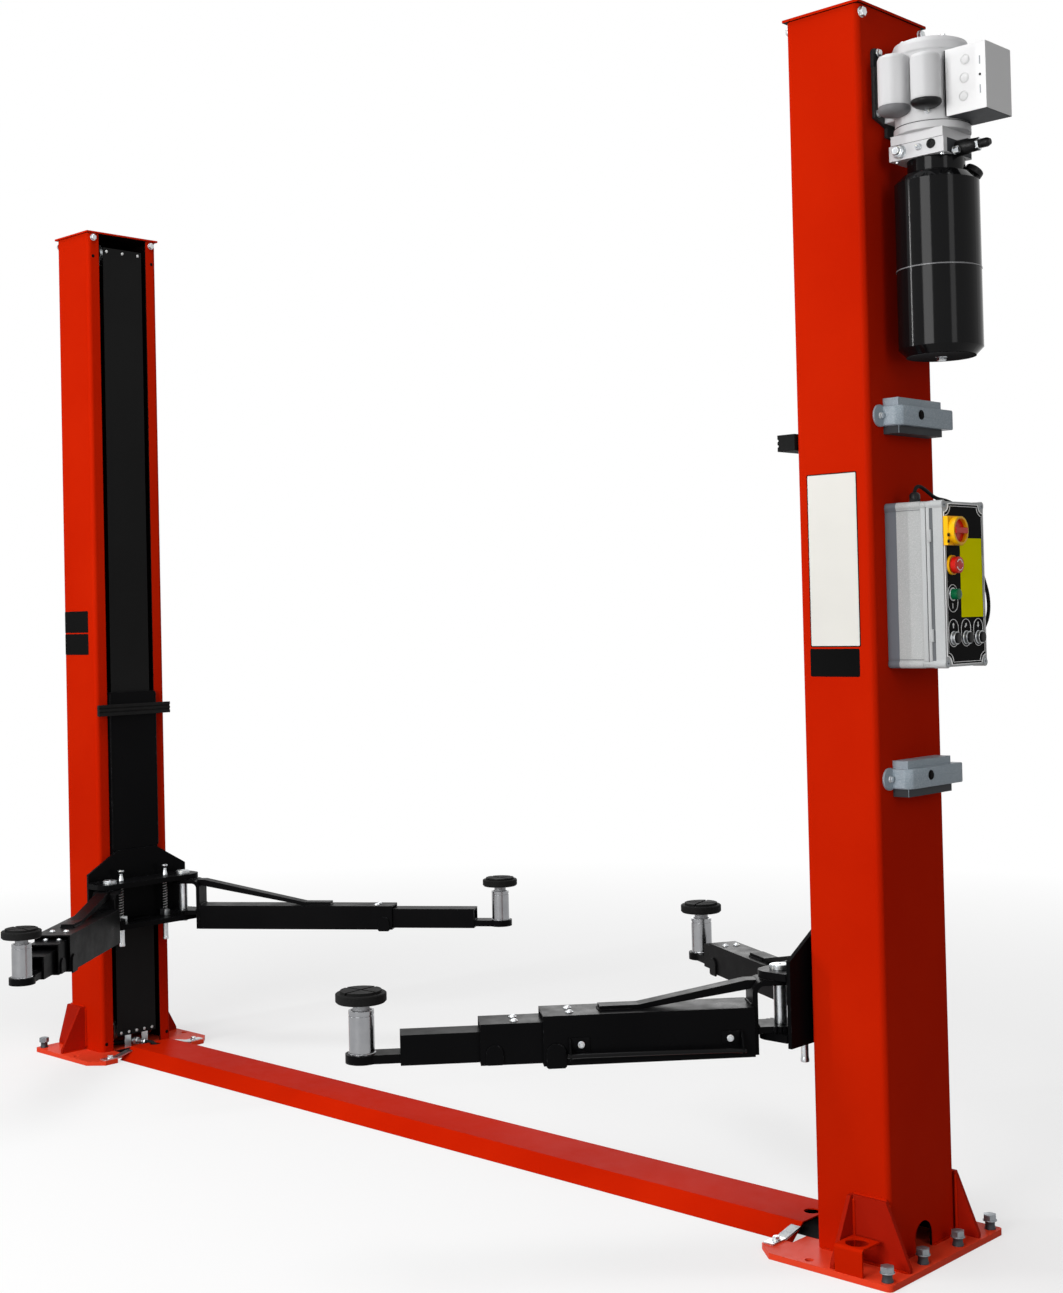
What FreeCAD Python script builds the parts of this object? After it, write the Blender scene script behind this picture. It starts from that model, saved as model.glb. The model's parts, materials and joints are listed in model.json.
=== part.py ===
"""Hydraulic two-post lift for cars, drawn in millimetres with +Z up.
The origin lies on the floor midway between the two columns.
The right column, with the power unit and the control box, stands at +X."""
import FreeCAD, Part
import math
import os
import re
import Sketcher

Vector = FreeCAD.Vector
Rotation = FreeCAD.Rotation
doc = FreeCAD.newDocument("two_post_lift")
os.makedirs("parts", exist_ok=True)

# Driving dimensions
sheet = doc.addObject("Spreadsheet::Sheet", "Dims")
DIMS = {
    "column_gap": 2910,
    "column_depth": 195,
    "column_width": 276,
    "column_wall": 6,
    "column_lip": 43,
    "column_top": 2812,
    "column_bend": 14,
    "cap_thick": 6,
    "cap_overhang": 5,
    "slot_width": 70,
    "slot_height": 65,
    "plate_inner": 110,
    "plate_outer": 65,
    "plate_side": 102,
    "plate_thick": 14,
    "plate_chamfer": 50,
    "plate_round": 12,
    "notch_depth": 52,
    "notch_half": 150,
    "anchor_hole": 10,
    "anchor_inset": 22,
    "anchor_row": 218,
    "anchor_row_inner": 74,
    "open_hole_offset": 35,
    "bolt_radius": 9,
    "bolt_head": 16,
    "bolt_head_height": 13,
    "bolt_stand": 20,
    "gusset_height": 143,
    "gusset_thick": 10,
    "gusset_gap": 3,
    "gusset_start": 100,
    "gusset_foot": 57,
    "gusset_side": 94,
    "gusset_lip": 22,
    "cover_half_foot": 123,
    "cover_half_top": 76,
    "cover_height": 37,
    "cover_sheet": 3,
    "cover_end": 81,
    "cover_hole": 19,
    "clip_width": 27,
    "clip_thick": 4,
    "clip_foot": 198,
    "clip_edge": 90,
    "holder_start": 116,
    "holder_width": 72,
    "holder_height": 60,
    "holder_depth": 72,
    "holder_hole": 26,
    "holder_sheet": 4,
    "holder_inset": 2,
    "band_half": 77,
    "band_low": 43,
    "band_high": 44,
    "band_leg": 24,
    "band_leg_row": 34,
    "band_thick": 3,
    "band_set_back": 1,
    "running_gap": 0.3,
    "slider_height": 90,
    "lift_right": 450,
    "lift_left": 409,
    "pin_in": 77,
    "pin_row": 148,
    "pin_radius": 15,
    "pin_head": 23,
    "pin_head_height": 9,
    "carriage_low": 19,
    "carriage_high": 825,
    "carriage_wall": 8,
    "carriage_gap": 8,
    "cheek_out": 90,
    "cheek_in": 83,
    "front_plate": 8,
    "front_gap": 5,
    "bracket_plate": 10,
    "bracket_half": 196,
    "bracket_neck": 78,
    "bracket_shoulder": 216,
    "bracket_top": 285,
    "hinge_low": 31,
    "hinge_thick": 17,
    "hinge_high": 170,
    "hinge_edge": 42,
    "hinge_end": 52,
    "hinge_round": 38,
    "tube_wall": 5,
    "tube_big": 112,
    "middle_play": 10,
    "small_play": 14,
    "tube_rear": 80,
    "rear_play": 6,
    "tube_start": 72,
    "front_outer_end": 555,
    "rear_outer_end": 754,
    "lug_half": 40,
    "lug_thick": 15,
    "strap_thick": 12,
    "strap_half": 38,
    "strap_round": 28,
    "strap_drop": 3,
    "tooth_ring": 50,
    "tooth_depth": 5,
    "tooth_gap": 0.6,
    "tooth_count": 26,
    "brace_half": 20,
    "brace_thick": 10,
    "brace_run_front": 260,
    "brace_run_rear": 370,
    "brace_foot": 90,
    "post_radius": 29,
    "post_height": 97,
    "post_groove": 3,
    "post_groove_low": 9,
    "screw_radius": 24,
    "screw_length": 65,
    "foot_thick": 20,
    "foot_radius": 38,
    "pad_radius": 58,
    "pad_thick": 28,
    "pad_neck": 17,
    "pad_neck_radius": 19,
    "pad_bevel": 4,
    "pad_block_radius": 47,
    "pad_block_height": 6,
    "pad_channel": 6,
    "swing_rf": 228.8,
    "swing_lf": -51.2,
    "swing_rr": 152.3,
    "swing_lr": 34.6,
    "reach_rf": 961,
    "reach_lf": 808,
    "reach_rr": 895,
    "reach_lr": 1122,
    "middle_rf": 696,
    "middle_lf": 630,
    "middle_length": 430,
    "small_front_length": 420,
    "small_rear_length": 600,
    "foot_reach": 86,
    "rod_radius": 9,
    "rod_below": 35,
    "rod_neck": 4.5,
    "rod_gap": 0.5,
    "knob_height": 35,
    "knob_waist": 6,
    "knob_rim": 10.5,
    "knob_rim_height": 4,
    "block_play": 5,
    "block_rise": 4,
    "rod_in": 54,
    "rod_row": 88.5,
    "unit_out": 100,
    "motor_radius": 85,
    "motor_low": 2514,
    "motor_high": 2721,
    "motor_flange": 16,
    "motor_bell": 30,
    "motor_step": 3,
    "motor_round": 14,
    "motor_back_half": 60,
    "motor_back_side": 88,
    "motor_back_thick": 8,
    "motor_back_high": 12,
    "motor_back_low": 10,
    "motor_back_step": 32,
    "can_row": 95,
    "can_low": 50,
    "can_round": 9,
    "start_can_out": 62,
    "start_can_radius": 35,
    "start_can_height": 120,
    "run_can_out": 143,
    "run_can_radius": 33,
    "run_can_height": 106,
    "terminal_out": 170,
    "terminal_side": 57,
    "terminal_low": 21,
    "terminal_depth": 98,
    "terminal_width": 109,
    "terminal_height": 146,
    "upper_block": 22,
    "lower_block": 34,
    "block_half": 66,
    "block_front": 70,
    "block_back": 50,
    "tank_radius": 93.5,
    "tank_shift": 7,
    "tank_low": 2019,
    "tank_high": 2424,
    "tank_round": 18,
    "tank_neck": 64,
    "lid_high": 1891,
    "lid_low": 1080,
    "lid_height": 80,
    "lid_depth": 40,
    "lid_front": 76,
    "lid_width": 180,
    "lid_stand": 6,
    "ear_row": 94,
    "ear_thick": 5,
    "ear_step": 21,
    "ear_rise": 20,
    "ear_shoulder": 50,
    "strap_end": 138,
    "strap_height": 44,
    "ear_radius": 25,
    "valve_radius": 14,
    "valve_length": 50,
    "valve_row": 10,
    "valve_high": 15,
    "lever_radius": 7,
    "lever_length": 32,
    "box_depth": 105,
    "box_front": -83,
    "box_width": 179,
    "box_low": 1327,
    "box_height": 367,
    "box_post": 10,
    "box_step": 2,
    "door_thick": 41,
    "button_row": 35,
    "button_pitch": 53,
    "button_low": 65,
    "button_radius": 11,
    "button_stand": 13,
    "button_in": 12,
    "start_high": 161,
    "start_radius": 12,
    "start_stand": 17,
    "stop_row": 34,
    "stop_high": 225,
    "stop_radius": 18,
    "stop_stand": 21,
    "stop_stem": 8,
    "stop_in": 18,
    "switch_row": 36,
    "switch_high": 300,
    "guard_half": 32,
    "guard_thick": 12,
    "dial_radius": 26,
    "dial_thick": 3,
    "dial_sink": 12,
    "handle_half": 6,
    "handle_stand": 14,
    "shaft_radius": 6,
    "drum_radius": 31,
    "drum_stand": 26,
    "knob_hole_play": 0.3,
    "bumper_low": 746,
    "bumper_height": 38,
    "bumper_half": 143,
    "stop_low": 1827,
    "pulley_radius": 46,
    "pulley_thick": 16,
    "pulley_low": 54,
    "pulley_drop": 76,
    "axle_radius": 10,
}
row = 1
for word in DIMS:
    sheet.set("A%d" % row, word)
    sheet.set("B%d" % row, str(DIMS[word]))
    sheet.setAlias("B%d" % row, word)
    row += 1
doc.recompute()

FACE = "column_gap / 2"
BACK = "(column_gap / 2 + column_depth)"
TUBE_MIDDLE = "(tube_big - 2 * tube_wall - middle_play)"
TUBE_SMALL = "(tube_big - 4 * tube_wall - middle_play - small_play)"
TUBE_REAR_SMALL = "(tube_rear - 2 * tube_wall - rear_play)"
PLATE_HALF = "(column_width / 2 + plate_side)"
pieces = []


def link(text):
    """Writes a formula of plain size names as a spreadsheet formula."""
    return re.sub(r"[a-z_]+", lambda found: "Dims." + found.group(0), str(text))


def bind(thing, prop, text):
    """Ties one property to the spreadsheet."""
    thing.setExpression(prop, link(text))


def place(thing, x, y, z):
    """Ties the position of an object to the spreadsheet."""
    bind(thing, "Placement.Base.x", x)
    bind(thing, "Placement.Base.y", y)
    bind(thing, "Placement.Base.z", z)


def box(name, x, y, z, length, width, height):
    """A block with its lowest corner at x, y, z."""
    block = doc.addObject("Part::Box", name)
    place(block, x, y, z)
    bind(block, "Length", length)
    bind(block, "Width", width)
    bind(block, "Height", height)
    return block


def rod(name, x, y, z, radius, height, axis="Z"):
    """A cylinder that starts at x, y, z and runs along the named axis."""
    bar = doc.addObject("Part::Cylinder", name)
    if axis == "X":
        bar.Placement = FreeCAD.Placement(Vector(), Rotation(Vector(0, 1, 0), 90))
    if axis == "Y":
        bar.Placement = FreeCAD.Placement(Vector(), Rotation(Vector(1, 0, 0), -90))
    place(bar, x, y, z)
    bind(bar, "Radius", radius)
    bind(bar, "Height", height)
    return bar


def fuse(name, parts):
    """Joins solids into one."""
    joined = doc.addObject("Part::MultiFuse", name)
    joined.Shapes = parts
    joined.Refine = True
    return joined


def cut(name, base, tools):
    """Takes the tools away from the base."""
    tool = tools[0]
    if len(tools) > 1:
        tool = fuse(name + "_tools", tools)
    rest = doc.addObject("Part::Cut", name)
    rest.Base = base
    rest.Tool = tool
    return rest


def drawn(body, name, plane, points):
    """A closed profile on one of the body's own planes, its corners tied to the spreadsheet."""
    sketch = body.newObject("Sketcher::SketchObject", name)
    planes = [part for part in body.Origin.OriginFeatures if part.Role == plane + "_Plane"]
    sketch.AttachmentSupport = [(planes[0], "")]
    sketch.MapMode = "FlatFace"
    count = len(points)
    corners = []
    for i in range(count):
        turn = 2 * math.pi * i / count
        corners.append(Vector(1000 * math.cos(turn), 1000 * math.sin(turn), 0))
    for i in range(count):
        sketch.addGeometry(Part.LineSegment(corners[i], corners[(i + 1) % count]), False)
    for i in range(count):
        sketch.addConstraint(Sketcher.Constraint("Coincident", i, 2, (i + 1) % count, 1))
    for i in range(count):
        across = sketch.addConstraint(Sketcher.Constraint("DistanceX", -1, 1, i, 1, corners[i].x))
        sketch.setExpression("Constraints[%d]" % across, link(points[i][0]))
        up = sketch.addConstraint(Sketcher.Constraint("DistanceY", -1, 1, i, 1, corners[i].y))
        sketch.setExpression("Constraints[%d]" % up, link(points[i][1]))
    return sketch


def prism(name, plane, points, length, x="0", y="0", z="0"):
    """A profile drawn on a plane of its own body and padded along that plane's axis."""
    body = doc.addObject("PartDesign::Body", name)
    pad = body.newObject("PartDesign::Pad", name + "_pad")
    pad.Profile = drawn(body, name + "_sketch", plane, points)
    pad.Reversed = plane == "XZ"
    bind(pad, "Length", length)
    place(body, x, y, z)
    return body


def turned(name, points, x="0", y="0", z="0"):
    """A profile of radius and height pairs, turned about the upright axis."""
    body = doc.addObject("PartDesign::Body", name)
    turn = body.newObject("PartDesign::Revolution", name + "_turn")
    turn.Profile = drawn(body, name + "_sketch", "XZ", points)
    axis = [part for part in body.Origin.OriginFeatures if part.Role == "Z_Axis"][0]
    turn.ReferenceAxis = (axis, [""])
    turn.Angle = 360
    place(body, x, y, z)
    return body


def rounded(body, name, radius, wanted):
    """Rounds the edges of a body that the given test picks out."""
    doc.recompute()
    edges = []
    for i, edge in enumerate(body.Shape.Edges):
        if wanted(edge):
            edges.append("Edge%d" % (i + 1))
    base = body.Tip
    bend = body.newObject("PartDesign::Fillet", name)
    bend.Base = (base, edges)
    bind(bend, "Radius", radius)
    doc.recompute()
    return body


def upright(edge):
    """Tells whether an edge runs along Z."""
    return abs(edge.tangentAt(edge.FirstParameter).z) > 0.9


def crosswise(edge):
    """Tells whether an edge runs along Y."""
    return abs(edge.tangentAt(edge.FirstParameter).y) > 0.9


def both_sides(points):
    """Completes a profile that is the same on both sides of its vertical axis."""
    other = []
    for across, up in reversed(points):
        other.append(("-(" + across + ")", up))
    return points + other


def done(thing, label, side="right", lift="0"):
    """Gives a finished piece its name. A left piece is the right one turned half round."""
    thing.Label = label
    if side == "left":
        thing.Placement = FreeCAD.Placement(Vector(), Rotation(Vector(0, 0, 1), 180))
    if side != "placed" and (side == "left" or lift != "0"):
        place(thing, "0", "0", lift)
    pieces.append(thing)
    return thing


# Columns with their caps, base plates and corner gussets
for side in ("right", "left"):
    lip = "(column_width / 2 - column_lip)"
    half = "column_width / 2"
    inner = "(column_width / 2 - column_wall)"
    channel_points = [
        (FACE, lip),
        (FACE, half),
        (BACK, half),
        (BACK, "-" + half),
        (FACE, "-" + half),
        (FACE, "-" + lip),
        (FACE + " + column_wall", "-" + lip),
        (FACE + " + column_wall", "-" + inner),
        (BACK + " - column_wall", "-" + inner),
        (BACK + " - column_wall", inner),
        (FACE + " + column_wall", inner),
        (FACE + " + column_wall", lip),
    ]
    height = "column_top - plate_thick"
    channel = prism("channel_" + side, "XY", channel_points, height, z="plate_thick")
    for name, depth, radius in (
        ("bend_", "0", "column_bend"),
        ("inner_bend_", "column_wall", "column_bend - column_wall"),
    ):
        edge_y = DIMS["column_width"] / 2 - DIMS.get(depth, 0)
        rounded(
            channel,
            name + side,
            radius,
            lambda edge: upright(edge) and abs(abs(edge.CenterOfMass.y) - edge_y) < 0.5,
        )
    cap = box(
        "cap_" + side,
        FACE + " - cap_overhang",
        "-column_width / 2 - cap_overhang",
        "column_top",
        "column_depth + 2 * cap_overhang",
        "column_width + 2 * cap_overhang",
        "cap_thick",
    )
    tools = []
    if side == "right":
        arch = "plate_thick + slot_height - slot_width / 2"
        tools.append(
            box(
                "slot_foot",
                BACK + " - 20",
                "-slot_width / 2",
                "plate_thick",
                "40",
                "slot_width",
                "slot_height - slot_width / 2",
            )
        )
        tools.append(rod("slot_arch", BACK + " - 20", "0", arch, "slot_width / 2", "40", "X"))
    axles = []
    for i, level in enumerate(("plate_thick + pulley_low", "column_top - pulley_drop")):
        axle = rod(
            "axle_%s_%d" % (side, i),
            FACE + " + column_depth / 2",
            "-column_width / 2 + column_wall",
            level,
            "axle_radius",
            "60",
            "Y",
        )
        axles.append(axle)
    column = fuse("column_shape_" + side, [channel, cap] + axles)
    if tools:
        column = cut("column_slotted_" + side, column, tools)
    done(column, "column_" + side, side)

    tip_x = FACE + " - plate_inner"
    end_x = BACK + " + plate_outer"
    plate_points = [(end_x, PLATE_HALF)]
    for x, y in (
        (tip_x + " + plate_chamfer", PLATE_HALF),
        (tip_x, PLATE_HALF + " - plate_chamfer * 0.85"),
        (tip_x, "notch_half"),
        (tip_x + " + notch_depth", "notch_half"),
    ):
        plate_points.append((x, y))
    for x, y in reversed(plate_points[:]):
        plate_points.append((x, "-(" + y + ")"))
    plate = prism("plate_blank_" + side, "XY", plate_points, "plate_thick")
    edge_x = DIMS["column_gap"] / 2 + DIMS["column_depth"] + DIMS["plate_outer"]
    rounded(
        plate,
        "plate_corner_" + side,
        "plate_round",
        lambda edge: upright(edge) and abs(edge.CenterOfMass.x - edge_x) < 0.5,
    )
    holes = []
    spots = []
    for sign in ("", "-"):
        spots.append((BACK + " + plate_outer - anchor_inset", sign + "anchor_row"))
        spots.append((BACK + " + plate_outer - anchor_inset", sign + "anchor_row_inner"))
        spots.append((FACE + " + open_hole_offset", sign + "anchor_row"))
    for i, spot in enumerate(spots):
        name = "hole_%s_%d" % (side, i)
        holes.append(rod(name, spot[0], spot[1], "-5", "anchor_hole", "plate_thick + 10"))
    done(cut("plate_" + side, plate, holes), "base_plate_" + side, side)

    corner_plates = []
    for end, sign in (("front", "-"), ("back", "")):
        start = FACE + " + gusset_start"
        top = "plate_thick + gusset_height"
        along_points = [
            (start, "plate_thick"),
            (start, top),
            (BACK, top),
            (BACK + " + gusset_foot", "plate_thick + 10"),
            (BACK + " + gusset_foot", "plate_thick"),
        ]
        low_y = "column_width / 2 + gusset_gap"
        if sign:
            low_y = "-column_width / 2 - gusset_gap - gusset_thick"
        along = prism("along_%s_%s" % (end, side), "XZ", along_points, "gusset_thick", y=low_y)
        out_points = [
            (sign + "(column_width / 2 + gusset_gap)", "plate_thick"),
            (sign + "(column_width / 2 + gusset_gap)", top),
            (sign + "(column_width / 2 + gusset_lip)", top),
            (sign + "(column_width / 2 + gusset_side)", "plate_thick + 10"),
            (sign + "(column_width / 2 + gusset_side)", "plate_thick"),
        ]
        out = prism("out_%s_%s" % (end, side), "YZ", out_points, "gusset_thick", x=start)
        corner_plates.append(fuse("corner_%s_%s" % (end, side), [along, out]))
    gussets = doc.addObject("Part::Compound", "gusset_pair_" + side)
    gussets.Links = corner_plates
    done(gussets, "gussets_" + side, side)

# Floor cover between the columns and the clips that hold it down
cover_end = "(column_gap / 2 - cover_end)"
slope = "(cover_half_foot - cover_half_top) / cover_height"
outer_points = [
    ("cover_half_foot", "0"),
    ("cover_half_top", "cover_height"),
    ("-cover_half_top", "cover_height"),
    ("-cover_half_foot", "0"),
]
inner_points = [
    ("cover_half_foot - cover_sheet * 1.3", "-1"),
    ("cover_half_top - cover_sheet * 0.6", "cover_height - cover_sheet"),
    ("-cover_half_top + cover_sheet * 0.6", "cover_height - cover_sheet"),
    ("-cover_half_foot + cover_sheet * 1.3", "-1"),
]
cover_outside = prism("cover_outside", "YZ", outer_points, "2 * " + cover_end, x="-" + cover_end)
cover_inside = prism(
    "cover_inside",
    "YZ",
    inner_points,
    "2 * " + cover_end + " + 20",
    x="-" + cover_end + " - 10",
)
cover_holes = []
for sign in ("", "-"):
    name = "cover_hole_%d" % len(cover_holes)
    spot = sign + "(" + cover_end + " - cover_hole - 8)"
    cover_holes.append(rod(name, spot, "0", "cover_height - 10", "cover_hole", "30"))
cover = cut("cover_shell", cover_outside, [cover_inside] + cover_holes)
done(cover, "floor_cover")

clips = []
for turn_name, side_sign in (("right", ""), ("left", "-")):
    for end, row_name in (("back", ""), ("front", "-")):
        name = "clip_%s_%s" % (turn_name, end)
        rise = "((cover_half_foot - clip_edge) / (cover_half_foot - cover_half_top)"
        rise += " * cover_height + running_gap)"
        clip_points = [
            (row_name + "clip_foot", "plate_thick"),
            (row_name + "(notch_half - 6)", "plate_thick"),
            (row_name + "clip_edge", rise),
            (row_name + "clip_edge", rise + " + clip_thick"),
            (row_name + "(notch_half - 4)", "plate_thick + clip_thick"),
            (row_name + "clip_foot", "plate_thick + clip_thick"),
        ]
        start = FACE + " - plate_inner + 5"
        if side_sign:
            start = "-(" + FACE + " - plate_inner + 5) - clip_width"
        clips.append(prism(name, "YZ", clip_points, "clip_width", x=start))
clip_set = doc.addObject("Part::Compound", "clip_set")
clip_set.Links = clips
done(clip_set, "cover_clips")

# Anchor bolts through the base plates
for side in ("right", "left"):
    bolts = []
    i = 0
    for across in ("anchor_row", "anchor_row_inner"):
        for sign in ("", "-"):
            x = BACK + " + plate_outer - anchor_inset"
            shank = rod(
                "shank_%s_%d" % (side, i),
                x,
                sign + across,
                "0",
                "bolt_radius",
                "plate_thick + bolt_stand",
            )
            head = doc.addObject("Part::Prism", "head_%s_%d" % (side, i))
            head.Polygon = 6
            bind(head, "Circumradius", "bolt_head")
            bind(head, "Height", "bolt_head_height")
            place(head, x, sign + across, "plate_thick + bolt_stand")
            bolts.append(fuse("anchor_%s_%d" % (side, i), [shank, head]))
            i += 1
    anchors = doc.addObject("Part::Compound", "anchor_set_" + side)
    anchors.Links = bolts
    done(anchors, "anchor_bolts_" + side, side)

# Holder for a spare pad adapter on the edge of the right base plate
holder_x = FACE + " + holder_start"
holder_front = "-" + PLATE_HALF + " + holder_inset"
holder_top = "plate_thick + holder_height"
holder_points = [
    (holder_front, "plate_thick"),
    (holder_front, holder_top),
    (holder_front + " + holder_depth", holder_top),
    (holder_front + " + holder_depth", holder_top + " - holder_sheet"),
    (holder_front + " + holder_sheet", holder_top + " - holder_sheet"),
    (holder_front + " + holder_sheet", "plate_thick"),
]
holder_sheet = prism("holder_sheet", "YZ", holder_points, "holder_width", x=holder_x)
corner_y = -DIMS["column_width"] / 2 - DIMS["plate_side"] + DIMS["holder_inset"]
corner_z = DIMS["plate_thick"] + DIMS["holder_height"]
rounded(
    holder_sheet,
    "holder_bend",
    "8",
    lambda edge: abs(edge.CenterOfMass.y - corner_y) < 0.5
    and abs(edge.CenterOfMass.z - corner_z) < 0.5,
)
holder_hole = rod(
    "holder_hole",
    holder_x + " + holder_width / 2",
    holder_front + " + holder_depth / 2",
    "plate_thick + 20",
    "holder_hole",
    "80",
)
holder = cut("holder_shape", holder_sheet, [holder_hole])
done(holder, "adapter_holder")

# Cover bands in the open faces of the columns
for side in ("right", "left"):
    strip = box(
        "band_strip_" + side,
        FACE + " + band_set_back",
        "-band_half",
        "plate_thick + band_low",
        "band_thick",
        "2 * band_half",
        "column_top - plate_thick - band_low - band_high",
    )
    legs = []
    for sign in ("", "-"):
        leg = box(
            "band_leg_%s_%d" % (side, len(legs)),
            FACE + " + band_set_back + band_thick",
            sign + "band_leg_row - band_leg / 2",
            "plate_thick",
            "band_thick",
            "band_leg",
            "band_low + 25",
        )
        legs.append(leg)
    done(fuse("band_" + side, [strip] + legs), "cover_band_" + side, side)

# Pulleys inside the columns
for side in ("right", "left"):
    for end, level in (("low", "plate_thick + pulley_low"), ("high", "column_top - pulley_drop")):
        disc = rod(
            "disc_%s_%s" % (end, side),
            FACE + " + column_depth / 2",
            "-column_width / 2 + column_wall + 30",
            level,
            "pulley_radius",
            "pulley_thick",
            "Y",
        )
        bore = rod(
            "disc_bore_%s_%s" % (end, side),
            FACE + " + column_depth / 2",
            "-column_width / 2 + column_wall + 20",
            level,
            "axle_radius + 0.05",
            "pulley_thick + 20",
            "Y",
        )
        done(cut("pulley_%s_%s" % (end, side), disc, [bore]), "pulley_%s_%s" % (end, side), side)

# Carriages with their hinge brackets, pins and lock rods
for side in ("right", "left"):
    lift = "lift_" + side
    tall = "carriage_high - carriage_low"
    shell = box(
        "slide_" + side,
        FACE + " + column_wall + carriage_gap",
        "-column_width / 2 + column_wall + carriage_gap",
        "carriage_low",
        "column_depth - 2 * column_wall - 2 * carriage_gap",
        "column_width - 2 * column_wall - 2 * carriage_gap",
        tall,
    )
    hollow = box(
        "slide_hollow_" + side,
        FACE + " + column_wall + carriage_gap + carriage_wall",
        "-column_width / 2 + column_wall + carriage_gap + carriage_wall",
        "carriage_low - 10",
        "column_depth - 2 * column_wall - 2 * carriage_gap - 2 * carriage_wall",
        "column_width - 2 * column_wall - 2 * carriage_gap - 2 * carriage_wall",
        tall + " + 20",
    )
    hull = cut("slide_shell_" + side, shell, [hollow])
    front_x = FACE + " - front_gap - front_plate"
    cheeks = []
    for i, start in enumerate(("cheek_in", "-cheek_out")):
        cheek = box(
            "cheek_%s_%d" % (side, i),
            front_x,
            start,
            "carriage_low",
            "front_gap + front_plate + column_wall + carriage_gap + 1",
            "cheek_out - cheek_in",
            tall,
        )
        cheeks.append(cheek)
    front = box(
        "front_" + side, front_x, "-cheek_out", "carriage_low", "front_plate", "2 * cheek_out", tall
    )
    bracket_points = both_sides(
        [
            ("-bracket_half", "carriage_low"),
            ("-bracket_half", "bracket_shoulder"),
            ("-bracket_neck", "bracket_top"),
        ]
    )
    plate_x = front_x + " - bracket_plate"
    bracket = prism("bracket_" + side, "YZ", bracket_points, "bracket_plate", x=plate_x)
    leaves = []
    for level, base in (("low", "hinge_low"), ("high", "hinge_high")):
        leaf_out = FACE + " - pin_in - hinge_edge"
        leaf_points = [
            (leaf_out, "pin_row + hinge_end"),
            (leaf_out, "-pin_row - hinge_end"),
            (plate_x, "-pin_row - hinge_end"),
            (plate_x, "pin_row + hinge_end"),
        ]
        leaf = prism("leaf_%s_%s" % (level, side), "XY", leaf_points, "hinge_thick", z=base)
        leaf_x = DIMS["column_gap"] / 2 - DIMS["pin_in"] - DIMS["hinge_edge"]
        rounded(
            leaf,
            "leaf_corner_%s_%s" % (level, side),
            "hinge_round",
            lambda edge: upright(edge) and abs(edge.CenterOfMass.x - leaf_x) < 0.5,
        )
        leaves.append(leaf)
    holes = []
    for i, sign in enumerate(("", "-")):
        holes.append(
            rod(
                "pin_hole_%s_%d" % (side, i),
                FACE + " - pin_in",
                sign + "pin_row",
                "0",
                "pin_radius + 0.05",
                "hinge_high + hinge_thick + 5",
            )
        )
        for level, radius in (("low", "rod_radius"), ("high", "rod_neck")):
            holes.append(
                rod(
                    "rod_hole_%s_%s_%d" % (level, side, i),
                    FACE + " - rod_in",
                    sign + "rod_row",
                    "hinge_" + level + " - 5",
                    radius + " + rod_gap",
                    "hinge_thick + 10",
                )
            )
    sliders = []
    for level in ("carriage_low", "carriage_high - slider_height"):
        for sign in (-1, 1):
            side_y = "column_width / 2 - column_wall - carriage_gap"
            if sign < 0:
                side_y = "-column_width / 2 + column_wall + running_gap"
            sliders.append(
                box(
                    "slider_%s_%d" % (side, len(sliders)),
                    FACE + " + column_wall + column_bend",
                    side_y,
                    level,
                    "column_depth - 2 * column_wall - 2 * column_bend",
                    "carriage_gap - running_gap",
                    "slider_height",
                )
            )
            lip_y = "column_width / 2 - column_lip + 5"
            if sign < 0:
                lip_y = "-column_width / 2 + column_wall + column_bend - 2"
            sliders.append(
                box(
                    "slider_%s_%d" % (side, len(sliders)),
                    FACE + " + column_wall + running_gap",
                    lip_y,
                    level,
                    "carriage_gap - running_gap",
                    "column_lip - column_wall - column_bend - 3",
                    "slider_height",
                )
            )
            back_y = "column_width / 2 - column_wall - column_bend - 40"
            if sign < 0:
                back_y = "-column_width / 2 + column_wall + column_bend"
            sliders.append(
                box(
                    "slider_%s_%d" % (side, len(sliders)),
                    BACK + " - column_wall - carriage_gap",
                    back_y,
                    level,
                    "carriage_gap - running_gap",
                    "40",
                    "slider_height",
                )
            )
    welded_parts = [hull] + cheeks + [front, bracket] + leaves + sliders
    welded = fuse("carriage_blank_" + side, welded_parts)
    done(cut("carriage_shape_" + side, welded, holes), "carriage_" + side, side, lift)

    pins = []
    for i, sign in enumerate(("", "-")):
        shaft = rod(
            "pin_shaft_%s_%d" % (side, i),
            FACE + " - pin_in",
            sign + "pin_row",
            "hinge_low - 8",
            "pin_radius",
            "hinge_high + hinge_thick - hinge_low + 8",
        )
        head = rod(
            "pin_head_%s_%d" % (side, i),
            FACE + " - pin_in",
            sign + "pin_row",
            "hinge_high + hinge_thick",
            "pin_head",
            "pin_head_height",
        )
        pins.append(fuse("pin_%s_%d" % (side, i), [shaft, head]))
    pair = doc.addObject("Part::Compound", "pin_pair_" + side)
    pair.Links = pins
    done(pair, "hinge_pins_" + side, side, lift)

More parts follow.
